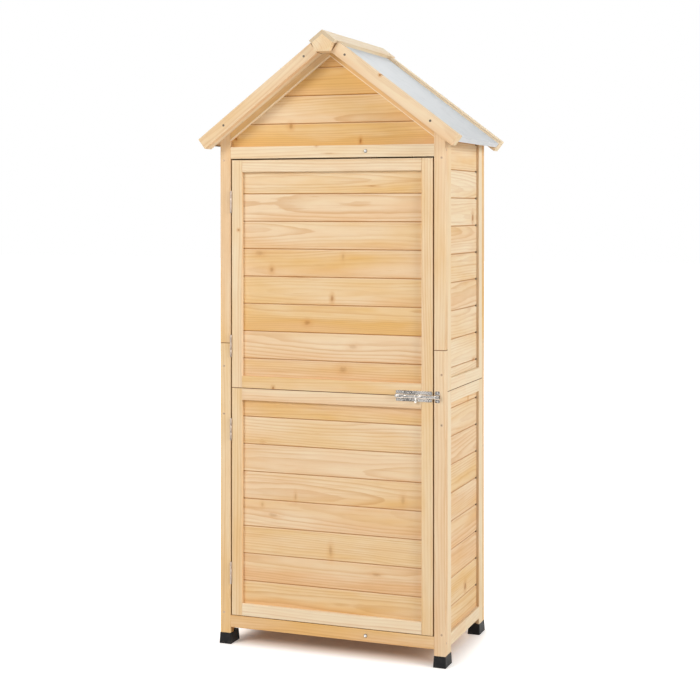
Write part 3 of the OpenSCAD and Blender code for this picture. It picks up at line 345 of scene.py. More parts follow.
def fir(name, along, across, deep, face=0.0, seed=0.0, field=None, cuts=(), rails=None, seams=(),
        marks=(), pits=None, arris=None, ends=None, gap=None, tones=(), sloping=False, warmth=0.60,
        grain=1.0, ring=0.0062, knots=0.16):
    """A fir material. along, across and deep name the axes of the grain's place, and deep is
    measured from the face. field gives the axis, first joint and pitch of a wall of boards.
    cuts are places where one length of lumber ends and another starts. rails gives the
    axis and half width inside which the same solids' cross rails lie, with their own
    grain direction. seams are places where a dark line is drawn: butt joints, and painted
    shadow beside a sheet's edge. marks are knots at given places, with their half length
    and half width and how dark they are. pits is the axis and place where the vee joints
    run into a stile's groove, where a dark spot of painted shade stands for the hole. arris
    is the axis and place of an edge with a painted highlight along it, and ends the axis
    and place of end grain. gap is the axis, place and strength of painted shade on the
    faces inside a gap. tones says how much warmer each board of a wall is, from the first
    joint's lower neighbour upwards. sloping turns the axes into the roof's slope."""
    material, tree, shader, place = new_material(name)
    axes = dict(zip("XYZ", node(tree, "ShaderNodeSeparateXYZ", {0: place}).outputs))
    if sloping:
        axes["U"], axes["V"] = slope_axes(tree, axes["X"], axes["Z"])
    board = seed
    for step, (axis, at) in enumerate(cuts):
        past = calc(tree, "GREATER_THAN", axes[axis], at)
        board = calc(tree, "MULTIPLY_ADD", past, 3.17 + 1.93 * step, board)
    wide = axes[across]
    if field:
        axis, first, pitch = field
        steps = calc(tree, "DIVIDE", calc(tree, "SUBTRACT", axes[axis], first), pitch)
        number = calc(tree, "FLOOR", steps)
        board = calc(tree, "MULTIPLY_ADD", number, 1.37, board)
        for step, tone in enumerate(tones):
            chosen = calc(tree, "COMPARE", number, step - 1.0, 0.5)
            warmth = calc(tree, "MULTIPLY_ADD", chosen, tone, warmth)
        share = calc(tree, "SUBTRACT", steps, number)
        wide = calc(tree, "MULTIPLY", calc(tree, "SUBTRACT", share, 0.5), pitch)
        edge = calc(tree, "SUBTRACT", 0.5 * pitch, calc(tree, "ABSOLUTE", wide))
    depth = distance(tree, axes[deep], face)
    grain_place = node(tree, "ShaderNodeCombineXYZ", {0: axes[along], 1: wide, 2: depth}).outputs[0]
    if rails:
        axis, half = rails
        inside = calc(tree, "LESS_THAN", calc(tree, "ABSOLUTE", axes[axis]), half)
        rail_place = node(tree, "ShaderNodeCombineXYZ", {0: axes[axis], 1: axes[along], 2: depth}).outputs[0]
        either = {0: inside, 4: grain_place, 5: rail_place}
        grain_place = node(tree, "ShaderNodeMix", either, data_type="VECTOR").outputs[1]
        board = calc(tree, "MULTIPLY_ADD", inside, 5.71, board)
        board = calc(tree, "MULTIPLY_ADD", calc(tree, "GREATER_THAN", axes[axis], 0.0), 2.39, board)
    given = {"Place": grain_place, "Board": board, "Ring width": ring, "Grain": grain,
             "Warmth": warmth, "Knots": knots, "Spread": 0.10 if tones else 0.36}
    wood = node(tree, "ShaderNodeGroup", given, node_tree=fir_grain).outputs
    colour, rough = wood["Color"], wood["Roughness"]
    if field:
        colour = vee_joints(tree, colour, edge, calc(tree, "GREATER_THAN", wide, 0.0))
    # Painted shade: a dark spot where each vee joint runs into the stile's groove.
    if pits:
        axis, at = pits
        beside = distance(tree, calc(tree, "ABSOLUTE", axes[axis]), at)
        reach = diagonal(tree, calc(tree, "MULTIPLY", beside, 0.40), edge)
        colour = tint(tree, ease(tree, reach, 0.0024, 0.0038, 0.92, 0.0), colour, painted_pit_shade)
    # Dark lines: real butt joints, and painted shadow beside the roof sheet's edge.
    for axis, at in seams:
        dark = ease(tree, distance(tree, axes[axis], at), 0.0006, 0.0015, 0.92, 0.0)
        colour = tint(tree, dark, colour, seam_and_shadow_dark)
        rough = calc(tree, "MAXIMUM", rough, dark)
    if marks:
        colour = placed_knots(tree, colour, place, axes[along], axes[across], marks)
    # Painted highlight: a pale line along an edge.
    if arris:
        axis, at = arris
        pale = ease(tree, distance(tree, axes[axis], at), 0.0014, 0.0026, 0.75, 0.0)
        colour = tint(tree, pale, colour, painted_arris_highlight)
    if ends:
        axis, at = ends
        cut = calc(tree, "GREATER_THAN", calc(tree, "ABSOLUTE", axes[axis]), at)
        colour = tint(tree, calc(tree, "MULTIPLY", cut, 0.60), colour, end_grain)
    # Painted shade on the edge faces deep inside a gap, with the roughness raised there.
    if gap:
        axis, at, strength = gap
        off = distance(tree, calc(tree, "ABSOLUTE", axes[axis]), at)
        gap_shade = calc(tree, "LESS_THAN", off, 0.0004)
        gap_shade = calc(tree, "MULTIPLY", gap_shade, ease(tree, depth, 0.0012, 0.0032, 0.0, strength))
        gap_shade = calc(tree, "MULTIPLY", gap_shade, calc(tree, "LESS_THAN", depth, 0.0208))
        colour = tint(tree, gap_shade, colour, painted_gap_shade)
        rough = calc(tree, "MAXIMUM", rough, gap_shade)
    tree.links.new(colour, shader.inputs["Base Color"])
    tree.links.new(rough, shader.inputs["Roughness"])
    shader.inputs["Specular IOR Level"].default_value = 0.05
    raise_surface(tree, shader, wood["Height"], 0.00022)
    return material


def lowest(name):
    """The lowest corner of a solid's box."""
    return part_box(name)[0]


def highest(name):
    """The highest corner of a solid's box."""
    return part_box(name)[1]


left_right, front_back = ("X", 0.0), ("Y", 0.0)
board_pitch = 0.08
lumber_ring = 0.0085
front_face, back_face = lowest("front_post_lower_left").y, highest("back_post_left").y
post_edge, side_face = lowest("front_post_lower_right").x, highest("front_post_lower_right").x
post_joint = highest("front_post_lower_left").z
dress(fir("front_post_fir", "Z", "X", "Y", face=front_face, seed=11.0, cuts=[left_right, ("Z", post_joint)],
          seams=[("Z", post_joint)], gap=("X", post_edge, 0.55), warmth=0.50, grain=0.75, ring=lumber_ring),
      "front_post_lower_left", "front_post_lower_right", "front_post_upper_left", "front_post_upper_right")
dress(fir("back_post_fir", "Z", "X", "Y", face=back_face, seed=21.0, cuts=[left_right, ("Z", post_joint)],
          warmth=0.48, grain=0.6, ring=lumber_ring),
      "back_post_left", "back_post_right")
dress(fir("bottom_rail_fir", "X", "Z", "Y", face=front_face, seed=31.0,
          gap=("Z", highest("front_rail_bottom").z, 0.85), warmth=0.62, grain=0.9),
      "front_rail_bottom")
dress(fir("top_rail_fir", "X", "Z", "Y", face=front_face, seed=35.0,
          marks=[(-0.002, 1.4335, 0.012, 0.0022, 0.22)], gap=("Z", lowest("front_rail_top").z, 0.90),
          warmth=0.08, grain=0.85, ring=0.009),
      "front_rail_top")


# Side walls: an upper and a lower framed panel on each side. The frames are the same fir
# lumber, and the tongue-and-groove boards run from front to back between their stiles.
side_split = 0.5 * (highest("side_frame_lower_right").z + lowest("side_frame_upper_right").z)
side_board_face = highest("side_boards_upper_right").x
panel_half = 0.145
pit_place = panel_half - 0.0025
dress(fir("side_frame_fir", "Z", "Y", "X", face=side_face, seed=41.0, cuts=[left_right, ("Z", side_split)],
          rails=("Y", panel_half), seams=[("Z", side_split)], gap=("Y", panel_half, 0.45), warmth=-0.08,
          grain=0.7, ring=lumber_ring),
      "side_frame_lower_left", "side_frame_lower_right", "side_frame_upper_left", "side_frame_upper_right")
dress(fir("side_board_fir_upper", "Y", "Z", "X", face=side_board_face, seed=51.0, cuts=[left_right],
          field=("Z", 0.826, board_pitch), marks=[(0.1134, 0.828, 0.010, 0.003, 0.55)],
          pits=("Y", pit_place), warmth=0.10, grain=0.9),
      "side_boards_upper_left", "side_boards_upper_right")
dress(fir("side_board_fir_lower", "Y", "Z", "X", face=side_board_face, seed=56.0, cuts=[left_right],
          field=("Z", 0.151, board_pitch), marks=[(0.0557, 0.7226, 0.004, 0.007, 0.45)],
          pits=("Y", pit_place), warmth=0.33, grain=1.0),
      "side_boards_lower_left", "side_boards_lower_right")


# Back wall: four cross rails between the posts, with fields of boards in their grooves.
# The rails' heights are those of the screws in the side faces of the back posts.
back_rail_heights = [0.0675, 0.560, 0.873, 1.439]
dress(fir("back_rail_fir", "X", "Z", "Y", face=back_face, seed=61.0,
          cuts=[("Z", 0.3), ("Z", 0.7), ("Z", 1.2)], warmth=0.45, grain=0.7),
      "back_rails")
dress(fir("back_board_fir", "X", "Z", "Y", face=highest("back_boards").y, seed=66.0,
          cuts=[("Z", height) for height in back_rail_heights[1:3]], field=("Z", 0.155, board_pitch),
          warmth=0.50),
      "back_boards")


# Inside: floor boards on battens, two uprights beside the tool bay, and three shelves of
# slats that lie on battens. All of it is fir of the same kind.
dress(fir("floor_board_fir", "X", "Y", "Z", face=highest("floor_boards").z, seed=71.0,
          field=("Y", -0.142, board_pitch), warmth=0.6),
      "floor_boards")
dress(fir("batten_fir", "Y", "X", "Z", seed=76.0, cuts=[("X", -0.1), ("X", 0.2), ("Z", 0.2), ("Z", 0.6)],
          warmth=0.55),
      "battens")
dress(fir("upright_fir", "Z", "X", "Y", seed=81.0, cuts=[front_back], warmth=0.5),
      "inner_upright_front", "inner_upright_back")
dress(fir("shelf_slat_fir", "X", "Y", "Z", seed=86.0, cuts=[("Z", 0.6), ("Z", 0.9)],
          field=("Y", -0.160, board_pitch), warmth=0.5),
      "shelf_lower", "shelf_middle", "shelf_upper")


# Gables: boards recessed behind a pair of rafters that meet in a plumb joint. The rafters'
# lower edges carry a painted highlight, paler than their faces.
gable_field = ("Z", 1.441, board_pitch)
dress(fir("gable_rafter_fir", "U", "V", "Y", face=front_face, seed=91.0, cuts=[left_right, front_back],
          arris=("V", -0.0525), sloping=True, warmth=0.60, grain=0.6),
      "gable_rafters_front", "gable_rafters_back")
dress(fir("front_gable_board_fir", "X", "Z", "Y", face=lowest("gable_boards_front").y, seed=97.0,
          field=gable_field,
          marks=[(0.090, 1.468, 0.0032, 0.0065, 0.85), (-0.299, 1.480, 0.003, 0.003, 0.9),
                 (-0.1245, 1.514, 0.006, 0.007, 0.5)],
          tones=(0.0, 0.10, -0.20, 0.02, 0.20), warmth=0.76),
      "gable_boards_front")
dress(fir("back_gable_board_fir", "X", "Z", "Y", face=highest("gable_boards_back").y, seed=99.0,
          field=gable_field, warmth=0.66, knots=0.3),
      "gable_boards_back")


# Door: two framed halves, dowelled together across the middle into one tall door. Its
# boards lie 10 mm behind the face of the frame.
door_edge = highest("door_stiles_lower").x
door_split = 0.5 * (highest("door_stiles_lower").z + lowest("door_stiles_upper").z)
door_board_face = lowest("door_boards_lower").y
dress(fir("door_stile_fir", "Z", "X", "Y", face=front_face, seed=101.0, cuts=[left_right, ("Z", door_split)],
          seams=[("Z", door_split)], marks=[(1.2137, -0.2864, 0.0030, 0.0030, 0.6)],
          gap=("X", door_edge, 0.55), warmth=0.44, grain=0.75, ring=lumber_ring),
      "door_stiles_lower", "door_stiles_upper")
dress(fir("door_rail_fir", "X", "Z", "Y", face=front_face, seed=111.0,
          cuts=[("Z", 0.4), ("Z", door_split), ("Z", 1.0)], seams=[("Z", door_split)], warmth=0.20,
          grain=0.80, ring=0.009),
      "door_rails_lower", "door_rails_upper")
dress(fir("door_board_fir_lower", "X", "Z", "Y", face=door_board_face, seed=121.0,
          field=("Z", 0.1885, board_pitch),
          marks=[(-0.110, 0.444, 0.003, 0.009, 0.30), (-0.001, 0.296, 0.005, 0.014, 0.34),
                 (0.2175, 0.457, 0.005, 0.012, 0.26), (-0.181, 0.386, 0.013, 0.005, 0.30),
                 (-0.215, 0.414, 0.004, 0.006, 0.24), (0.138, 0.240, 0.012, 0.004, 0.36)],
          tones=(0.15, 0.09, 0.02, -0.14, 0.02, -0.10, -0.30, 0.12), warmth=0.50),
      "door_boards_lower")
dress(fir("door_board_fir_upper", "X", "Z", "Y", face=door_board_face, seed=131.0,
          field=("Z", 0.8387, board_pitch),
          marks=[(-0.185, 1.099, 0.005, 0.007, 0.45), (-0.223, 1.146, 0.012, 0.006, 0.30),
                 (-0.102, 1.0785, 0.026, 0.0022, 0.40), (0.0035, 1.0185, 0.0042, 0.0085, 0.60),
                 (-0.0735, 0.948, 0.008, 0.006, 0.50), (0.067, 0.883, 0.012, 0.006, 0.24),
                 (0.037, 0.8165, 0.012, 0.008, 0.36), (0.037, 1.139, 0.004, 0.009, 0.24),
                 (0.125, 1.340, 0.012, 0.0010, 0.70)],
          tones=(0.12, -0.18, 0.12, 0.0, 0.02, -0.18, -0.26, -0.18), warmth=0.55),
      "door_boards_upper")
dress(fir("dowel_fir", "Z", "X", "Y", seed=141.0, cuts=[("X", -0.1), ("X", 0.1)], warmth=0.5), "door_dowels")


# Hinges: zinc-plated steel butt hinges folded round loose pins, with the fine streaks of
# rolled sheet and a slightly cloudy plating.
def make_zinc(name, dull, bright, rough, dirt_and_shade=None):
    """Plated steel, clouded between two colours. The last argument is the colour of dirt
    and painted shade that an attribute of the same name spreads."""
    material, tree, shader, place = new_material(name)
    cloud = noise(tree, place, 160.0, 3.0, 0.6)
    drawn_out = node(tree, "ShaderNodeMapping", {"Vector": place, "Scale": (1.0, 1.0, 0.04)}).outputs[0]
    streaks = noise(tree, drawn_out, 2200.0, 2.0, 0.6)
    colour = tint(tree, cloud, dull, bright)
    if dirt_and_shade:
        spread = node(tree, "ShaderNodeAttribute", attribute_name="dirt_and_shade").outputs["Fac"]
        colour = tint(tree, spread, colour, dirt_and_shade)
    tree.links.new(colour, shader.inputs["Base Color"])
    shader.inputs["Metallic"].default_value = 1.0
    tree.links.new(calc(tree, "MULTIPLY_ADD", cloud, 0.18, rough), shader.inputs["Roughness"])
    raise_surface(tree, shader, streaks, 0.00004)
    return material


zinc = make_zinc("hinge_zinc", (0.270, 0.200, 0.150, 1.0), (0.700, 0.600, 0.520, 1.0), 0.36)
for name, body in [("hinge_frame_leaves", "shed"), ("hinge_door_leaves", "door"), ("hinge_pins", "shed")]:
    part = softened(name, zinc, 0.0002)
    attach(part, body)
    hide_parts(name)


# Barrel bolt: a chromed plate with two pressed loops, a rod with its knob, and the keep
# on the post. The chrome is bright, with hairline scratches where the rod slides.
chrome, tree, shader, place = new_material("bolt_chrome")
along_rod = node(tree, "ShaderNodeMapping", {"Vector": place, "Scale": (0.05, 1.0, 1.0)}).outputs[0]
scratches = ease(tree, noise(tree, along_rod, 3800.0, 2.0, 0.6), 0.60, 0.74)
haze = noise(tree, place, 130.0, 3.0, 0.6)
deep_chrome, bright_chrome = (0.50, 0.465, 0.43, 1.0), (0.80, 0.765, 0.72, 1.0)
tree.links.new(tint(tree, haze, deep_chrome, bright_chrome), shader.inputs["Base Color"])
shader.inputs["Metallic"].default_value = 1.0
polish = calc(tree, "MULTIPLY_ADD", haze, 0.08, 0.05)
tree.links.new(calc(tree, "MULTIPLY_ADD", scratches, 0.14, polish), shader.inputs["Roughness"])
raise_surface(tree, shader, scratches, 0.00002)
for name, body, width in [("bolt_plate", "door", 0.0004), ("bolt_rod", "bolt_rod", 0.0003),
                          ("bolt_knob", "bolt_knob", 0.0003), ("bolt_keep", "shed", 0.0004)]:
    part = softened(name, chrome, width)
    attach(part, body)
    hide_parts(name)


# Roof: fir deck boards on the gables, verge rafters screwed to the gables' faces and barge
# boards outside them.
front_barge_face, back_barge_face = lowest("barge_front_left").y, highest("barge_back_left").y
barge_cuts = [left_right, front_back]
# sheet_shade is where a line of painted shadow runs beside the sheet's edge on the verge rafters and back
# barges, whose top edges also get a painted highlight.
sheet_shade = highest("roof_sheet_right").y + 0.0018
cap_end = highest("ridge_cap_left").y - 0.0002
dress(fir("barge_fir", "U", "V", "Y", face=front_barge_face, seed=151.0, cuts=barge_cuts, sloping=True,
          warmth=0.06, grain=0.7, ring=lumber_ring),
      "barge_front_left")
dress(fir("back_barge_fir", "U", "V", "Y", face=back_barge_face, seed=156.0, cuts=[left_right],
          arris=("V", 0.0), seams=[("Y", sheet_shade)], sloping=True, warmth=-0.15, grain=0.5,
          ring=lumber_ring),
      "barge_back_left", "barge_back_right")
dress(fir("marked_barge_fir", "U", "V", "Y", face=front_barge_face, seed=151.0, cuts=barge_cuts,
          marks=[(0.2122, -0.0015, 0.0028, 0.0028, 0.95)], sloping=True, warmth=0.27, grain=0.7,
          ring=lumber_ring),
      "barge_front_right")
dress(fir("verge_fir", "U", "V", "Y", face=lowest("verge_rafters_left").y, seed=161.0, cuts=barge_cuts,
          arris=("V", 0.0), seams=[("Y", sheet_shade)], sloping=True, warmth=-0.10, grain=0.6),
      "verge_rafters_left", "verge_rafters_right")
dress(fir("deck_fir", "Y", "U", "V", face=-0.0088, seed=171.0, cuts=[left_right],
          field=("U", 0.0490, board_pitch), sloping=True, warmth=0.55),
      "roof_deck_left", "roof_deck_right")
dress(fir("ridge_fir", "Y", "X", "Z", face=1.70, seed=181.0, warmth=0.22, grain=0.7), "ridge_beam")
dress(fir("cap_fir", "Y", "U", "V", seed=186.0, cuts=[left_right], ends=("Y", cap_end), sloping=True,
          warmth=0.04, grain=0.5, ring=lumber_ring),
      "ridge_cap_left", "ridge_cap_right")


# Roof sheets: thin light grey coated steel, folded down at the eaves. The coating has a
# faint orange-peel skin, a few soft dents and darker handling marks.
sheet_grey, tree, shader, place = new_material("roof_sheet_grey")
peel = noise(tree, place, 1300.0, 2.0, 0.5)
dents = noise(tree, place, 7.0, 2.0, 0.5)
handled = ease(tree, noise(tree, place, 24.0, 4.0, 0.65), 0.50, 0.75)
clean_grey, handled_grey = (0.680, 0.700, 0.712, 1.0), (0.645, 0.665, 0.677, 1.0)
tree.links.new(tint(tree, handled, clean_grey, handled_grey), shader.inputs["Base Color"])
shader.inputs["Specular IOR Level"].default_value = 0.04
tree.links.new(calc(tree, "MULTIPLY_ADD", handled, 0.12, 0.58), shader.inputs["Roughness"])
raise_surface(tree, shader, calc(tree, "MULTIPLY_ADD", peel, 0.02, dents), 0.0012)
dress(sheet_grey, "roof_sheet_left", "roof_sheet_right")


# Screws: cross-recessed. Countersunk ones are brown in the posts and dark in the barge
# boards. Bright domed ones hold the front rails, bolt and keep, and small countersunk ones
# the hinge leaves.
def screw_shape(name, head, shank, length, dome):
    """One screw along -Z with its head at the origin. dome is the height of a round head,
    or 0 for a countersunk one, whose top is flush."""
    work = bmesh.new()
    dirt_and_shade = work.verts.layers.float.new("dirt_and_shade")
    sides = 24
    arm, slot_half = head * 0.30, head * 0.075

    def ring(radius, z):
        turns = [2.0 * math.pi * i / sides for i in range(sides)]
        return [work.verts.new((radius * math.cos(t), radius * math.sin(t), z)) for t in turns]

    def join(low, high):
        for i in range(len(low)):
            j = (i + 1) % len(low)
            work.faces.new((low[i], low[j], high[j], high[i]))

    def cross(scale, z):
        corner = [(arm, slot_half), (slot_half, slot_half), (slot_half, arm)]
        points = []
        for quarter in range(4):
            turn = Matrix.Rotation(quarter * math.pi / 2.0, 2)
            points += [turn @ Vector(p) for p in corner]
        return [work.verts.new((p.x * scale, p.y * scale, z)) for p in points]

    tip = work.verts.new((0.0, 0.0, -length))
    if dome:
        rings = [ring(shank * 0.5, -length + 0.002), ring(shank * 0.5, 0.0), ring(head * 0.5, 0.0),
                 ring(head * 0.5, dome * 0.30), ring(head * 0.44, dome * 0.66)]
        top = dome
        last = ring(head * 0.335, dome * 0.90)
    else:
        neck = -0.0005 - (head - shank) * 0.5
        rings = [ring(shank * 0.5, -length + 0.002), ring(shank * 0.5, neck), ring(head * 0.5, -0.0005)]
        top = 0.0
        last = ring(head * 0.485, 0.0)
    rings.append(last)
    for i in range(sides):
        work.faces.new((tip, rings[0][(i + 1) % sides], rings[0][i]))
    for low, high in zip(rings, rings[1:]):
        join(low, high)
    mouth = cross(1.0, top)
    floor = cross(0.55, top - head * 0.22)
    mouth_edges = [work.edges.new((mouth[i], mouth[(i + 1) % len(mouth)])) for i in range(len(mouth))]
    rim = [e for e in work.edges if all(v in last for v in e.verts)]
    bmesh.ops.triangle_fill(work, edges=rim + mouth_edges, use_beauty=True)
    join(mouth, floor)
    work.faces.new(floor)
    bmesh.ops.recalc_face_normals(work, faces=work.faces)
    # The attribute spreads painted shade with some dirt: fully on the head's sides and down the cross
    # recess, hardly on the top face.
    shares = dict.fromkeys(floor if dome else (), 0.4) | dict.fromkeys(last, 0.1) | dict.fromkeys(mouth, 0.0)
    for vert in work.verts:
        vert[dirt_and_shade] = shares.get(vert, 1.0)
    mesh = bpy.data.meshes.new(name)
    work.to_mesh(mesh)
    work.free()
    return bpy.data.objects.new(name, mesh)


def driven_screws_tree():
    """Geometry nodes that put one screw on each point, turned along the point's own
    direction and by chance about its own axis."""
    tree = bpy.data.node_groups.new("driven screws", "GeometryNodeTree")
    for name, side, kind in [
        ("Places", "INPUT", "NodeSocketGeometry"), ("Screw", "INPUT", "NodeSocketObject"),
        ("Finish", "INPUT", "NodeSocketMaterial"), ("Seed", "INPUT", "NodeSocketInt"),
        ("Screws", "OUTPUT", "NodeSocketGeometry"),
    ]:
        tree.interface.new_socket(name, in_out=side, socket_type=kind)
    given = node(tree, "NodeGroupInput").outputs
    shape = node(tree, "GeometryNodeObjectInfo", {"Object": given["Screw"]}).outputs["Geometry"]
    turn = node(tree, "GeometryNodeInputNamedAttribute", {"Name": "turn"}, data_type="FLOAT_VECTOR")
    placed = node(tree, "GeometryNodeInstanceOnPoints",
                  {"Points": given["Places"], "Instance": shape, "Rotation": turn.outputs["Attribute"]})
    chance = node(tree, "FunctionNodeRandomValue", {"Min": (0.0, 0.0, 0.0), "Max": (0.0, 0.0, 1.57),
                                                    "Seed": given["Seed"]}, data_type="FLOAT_VECTOR")
    spun = node(tree, "GeometryNodeRotateInstances",
                {"Instances": placed.outputs[0], "Rotation": chance.outputs[0]})
    solid = node(tree, "GeometryNodeRealizeInstances", {0: spun.outputs[0]})
    finished = node(tree, "GeometryNodeSetMaterial",
                    {"Geometry": solid.outputs[0], "Material": given["Finish"]})
    node(tree, "NodeGroupOutput", {"Screws": finished.outputs[0]})
    return tree


screw_tree = driven_screws_tree()


def drive(name, screw, places, finish, seed):
    """Puts a screw at each place, given as a point and the direction its head faces, and
    returns them as one piece."""
    mesh = bpy.data.meshes.new(name + "_places")
    mesh.from_pydata([point for point, _ in places], [], [])
    turns = mesh.attributes.new("turn", "FLOAT_VECTOR", "POINT")
    for i, (_, out) in enumerate(places):
        turns.data[i].vector = Vector(out).to_track_quat("Z", "Y").to_euler()
    holder = add_object(name + "_places", mesh)
    modifier = holder.modifiers.new("screws", "NODES")
    modifier.node_group = screw_tree
    sockets = {s.name: s.identifier for s in screw_tree.interface.items_tree if s.in_out == "INPUT"}
    modifier[sockets["Screw"]] = screw
    modifier[sockets["Finish"]] = finish
    modifier[sockets["Seed"]] = seed
    evaluated = holder.evaluated_get(bpy.context.evaluated_depsgraph_get())
    driven = bpy.data.meshes.new_from_object(evaluated)
    holder.modifiers.remove(modifier)
    bpy.data.objects.remove(holder)
    return add_object(name, driven)


# Colours of dirt and painted shade on the screws.
dirt_and_shade_dark, clay_and_shade_brown = (0.060, 0.045, 0.032, 1.0), (0.280, 0.165, 0.095, 1.0)
dark_steel = make_zinc("dark_screw_steel", (0.120, 0.095, 0.075, 1.0), (0.280, 0.230, 0.180, 1.0),
                       0.42, dirt_and_shade_dark)
brown_steel = make_zinc("brown_screw_steel", (0.520, 0.360, 0.240, 1.0), (0.740, 0.560, 0.400, 1.0),
                        0.45, clay_and_shade_brown)
bright_steel = make_zinc("bright_screw_steel", (0.80, 0.79, 0.77, 1.0), (0.94, 0.93, 0.91, 1.0),
                         0.34, dirt_and_shade_dark)
post_screw_x, post_screw_y = 0.3335, 0.189
post_heights = [0.092, 0.674, 0.814, 1.4175]
front_rail_heights = [0.0675, 1.439]
barge_runs = [0.0915, 0.408]
barge_middle = 0.0175
post_places, barge_places = [], []
for side in (-1.0, 1.0):
    for end in (-1.0, 1.0):
        post_places += [((side * post_screw_x, end * back_face, h), (0.0, end, 0.0)) for h in post_heights]
        for run in barge_runs:
            across = run * math.cos(roof_pitch) - barge_middle * math.sin(roof_pitch)
            height = roof_apex - run * math.sin(roof_pitch) - barge_middle * math.cos(roof_pitch)
            barge_places.append(((side * across, end * back_barge_face, height), (0.0, end, 0.0)))
    for y, heights in ((-post_screw_y, front_rail_heights), (post_screw_y, back_rail_heights)):
        post_places += [((side * side_face, y, h), (side, 0.0, 0.0)) for h in heights]
long_screw = screw_shape("countersunk_screw", 0.007, 0.0036, 0.042, 0.0)
barge_screw = screw_shape("barge_screw", 0.007, 0.0036, 0.036, 0.0)
for name, screw, places, finish in [("post_screws_driven", long_screw, post_places, brown_steel),
                                    ("barge_screws_driven", barge_screw, barge_places, dark_steel)]:
    piece = drive(name, screw, places, finish, 3)
    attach(piece, "shed")
    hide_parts("frame_screws")

forwards = (0.0, -1.0, 0.0)
plate_face = front_face - 0.0014
bolt_height = 0.5 * (lowest("bolt_plate").z + highest("bolt_plate").z)
hinge_heights = [0.209, 0.630, 0.874, 1.2955]
leaf_setback, leaf_width, leaf_thickness = 0.001, 0.017, 0.0012
leaf_y = front_face + leaf_setback + 0.5 * leaf_width
leaf_screw_heights = [h + step for h in hinge_heights for step in (-0.0245, 0.0, 0.0245)]
leaf_screw = screw_shape("hinge_screw", 0.0052, 0.0028, 0.016, 0.0)
small_screw = screw_shape("small_domed_screw", 0.005, 0.0028, 0.014, 0.0015)
rail_screw = screw_shape("large_domed_screw", 0.010, 0.0045, 0.042, 0.0033)
rail_places = [((0.109, front_face, h), forwards) for h in front_rail_heights]
keep_places = [((0.322, plate_face, bolt_height + step), forwards) for step in (-0.0115, 0.0115)]
plate_places = [((plate_x, plate_face, bolt_height + step), forwards)
                for plate_x in (0.222, 0.301) for step in (-0.011, 0.011)]
post_leaf_places = [((leaf_thickness - post_edge, leaf_y, h), (1.0, 0.0, 0.0)) for h in leaf_screw_heights]
door_leaf_places = [((-door_edge - leaf_thickness, leaf_y, h), (-1.0, 0.0, 0.0)) for h in leaf_screw_heights]
sets = [("shed", "bright_screws", [("rail", rail_screw, rail_places), ("keep", small_screw, keep_places),
                                   ("post_leaf", leaf_screw, post_leaf_places)]),
        ("door", "door_screws", [("plate", small_screw, plate_places),
                                 ("door_leaf", leaf_screw, door_leaf_places)])]
for body, cad_node, groups in sets:
    for seed, (name, screw, places) in enumerate(groups, 11):
        piece = drive(name + "_screws_driven", screw, places, bright_steel, seed)
        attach(piece, body)
        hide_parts(cad_node)


# Stage: a white seamless floor and soft studio light from large lamps at the front left, at
# the right and behind. The pale surround only fills the shadows.
def seen_rays(tree):
    """1 for rays that show something, straight to the camera or by way of polish or glass,
    and 0 for the rays that light the shed."""
    rays = node(tree, "ShaderNodeLightPath").outputs
    by_way = calc(tree, "MAXIMUM", rays["Is Glossy Ray"], rays["Is Transmission Ray"])
    return calc(tree, "MAXIMUM", rays["Is Camera Ray"], by_way)


white = (1.0, 1.0, 1.0, 1.0)
floor_white, tree, shader, place = new_material("studio_floor")
shader.inputs["Roughness"].default_value = 0.9
shader.inputs["Specular IOR Level"].default_value = 0.0
x, y, _ = node(tree, "ShaderNodeSeparateXYZ", {0: place}).outputs
past_x = calc(tree, "SUBTRACT", calc(tree, "ABSOLUTE", x), side_face)
past_y = calc(tree, "SUBTRACT", calc(tree, "ABSOLUTE", y), back_face)
outside = diagonal(tree, calc(tree, "MAXIMUM", past_x, 0.0), calc(tree, "MAXIMUM", past_y, 0.0))
under = calc(tree, "MINIMUM", calc(tree, "MAXIMUM", past_x, past_y), 0.0)
beyond = calc(tree, "ADD", outside, under)
# The floor is painted a warm shade under and just round the shed, and its glow fades there so that the
# shadow shows; further out it glows evenly white.
paper_white, painted_shade_warm = (0.80, 0.80, 0.80, 1.0), (0.88, 0.72, 0.58, 1.0)
under_shed_shade = ease(tree, beyond, -0.06, 0.05, 1.0, 0.0)
tree.links.new(tint(tree, under_shed_shade, paper_white, painted_shade_warm), shader.inputs["Base Color"])
shader.inputs["Emission Color"].default_value = white
glow = calc(tree, "MULTIPLY", seen_rays(tree), ease(tree, beyond, -0.095, 0.125, 0.035, 1.0))
tree.links.new(glow, shader.inputs["Emission Strength"])
floor_mesh = bpy.data.meshes.new("studio_floor")
reach = 30.0
corners = [(-reach, -reach, 0.0), (reach, -reach, 0.0), (reach, reach, 0.0), (-reach, reach, 0.0)]
floor_mesh.from_pydata(corners, [], [(0, 1, 2, 3)])
floor_mesh.materials.append(floor_white)
floor = add_object("studio_floor", floor_mesh)


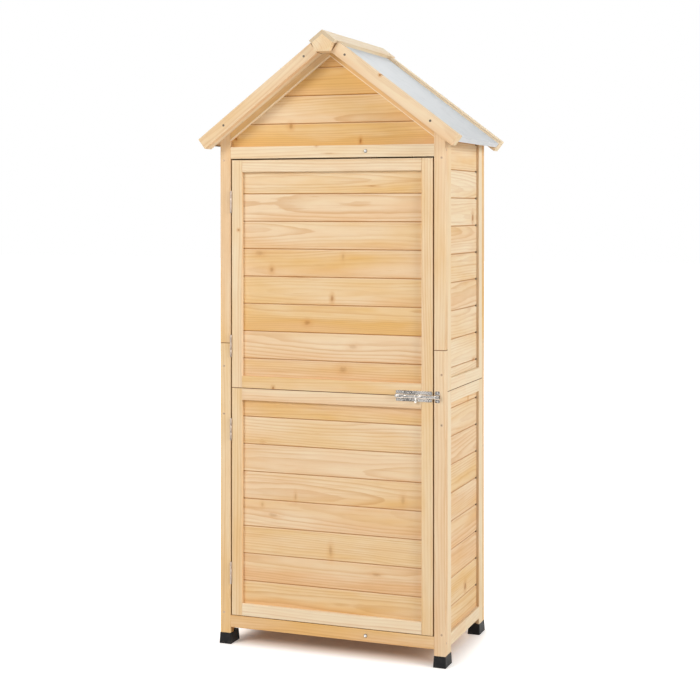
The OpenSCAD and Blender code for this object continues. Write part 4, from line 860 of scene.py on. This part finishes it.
def soft_lamp(name, location, size, share):
    """A square lamp aimed at the shed. share is the brightness it alone gives to a white
    face turned towards it, where 1 renders white."""
    aim = Vector((0.0, 0.0, 0.95))
    away = aim - Vector(location)
    data = bpy.data.lights.new(name, "AREA")
    data.shape = "SQUARE"
    data.size = size
    data.energy = share * math.pi ** 2 * away.length_squared
    lamp = add_object(name, data)
    lamp.location = location
    lamp.rotation_euler = away.to_track_quat("-Z", "Y").to_euler()


soft_lamp("front_left_lamp", (-3.8, -6.7, 4.9), 3.4, 0.56)
soft_lamp("right_lamp", (6.6, -1.9, 3.4), 3.0, 0.57)
soft_lamp("back_lamp", (-2.2, 6.8, 4.0), 3.2, 0.60)


def dark_flag(name, centre, size, turn):
    """A black card, as photographers stand near the camera, that only polished metal sees."""
    data = bpy.data.meshes.new(name)
    x, y = size[0] * 0.5, size[1] * 0.5
    data.from_pydata([(-x, -y, 0.0), (x, -y, 0.0), (x, y, 0.0), (-x, y, 0.0)], [], [(0, 1, 2, 3)])
    data.materials.append(black_card)
    card = add_object(name, data)
    card.location = centre
    card.rotation_euler = turn
    card.visible_camera = card.visible_diffuse = card.visible_shadow = card.visible_transmission = False


black_card, tree, shader, place = new_material("black_card")
shader.inputs["Base Color"].default_value = (0.02, 0.018, 0.016, 1.0)
shader.inputs["Roughness"].default_value = 1.0
shader.inputs["Specular IOR Level"].default_value = 0.0
upright = (math.radians(90.0), 0.0, 0.0)
for number, card_x in enumerate((-1.00, -0.85, -0.70, -0.55, -0.40)):
    dark_flag(f"slat_flag_{number}", (card_x, -3.0, 0.42), (0.105, 0.84), upright)
dark_flag("high_flag", (-0.4, -3.2, 2.5), (4.4, 1.7), upright)
dark_flag("floor_flag", (-0.4, -1.55, 0.02), (3.0, 1.5), (0.0, 0.0, 0.0))

world = bpy.data.worlds.new("studio_surround")
bpy.context.scene.world = world
world.use_nodes = True
tree = world.node_tree
tree.nodes.clear()
fill = node(tree, "ShaderNodeBackground", {"Color": white, "Strength": 0.24}).outputs[0]
backdrop = node(tree, "ShaderNodeBackground", {"Color": white, "Strength": 1.0}).outputs[0]
mixed = node(tree, "ShaderNodeMixShader", {0: seen_rays(tree), 1: fill, 2: backdrop})
node(tree, "ShaderNodeOutputWorld", {"Surface": mixed.outputs[0]})
bpy.context.scene.view_settings.view_transform = "Standard"
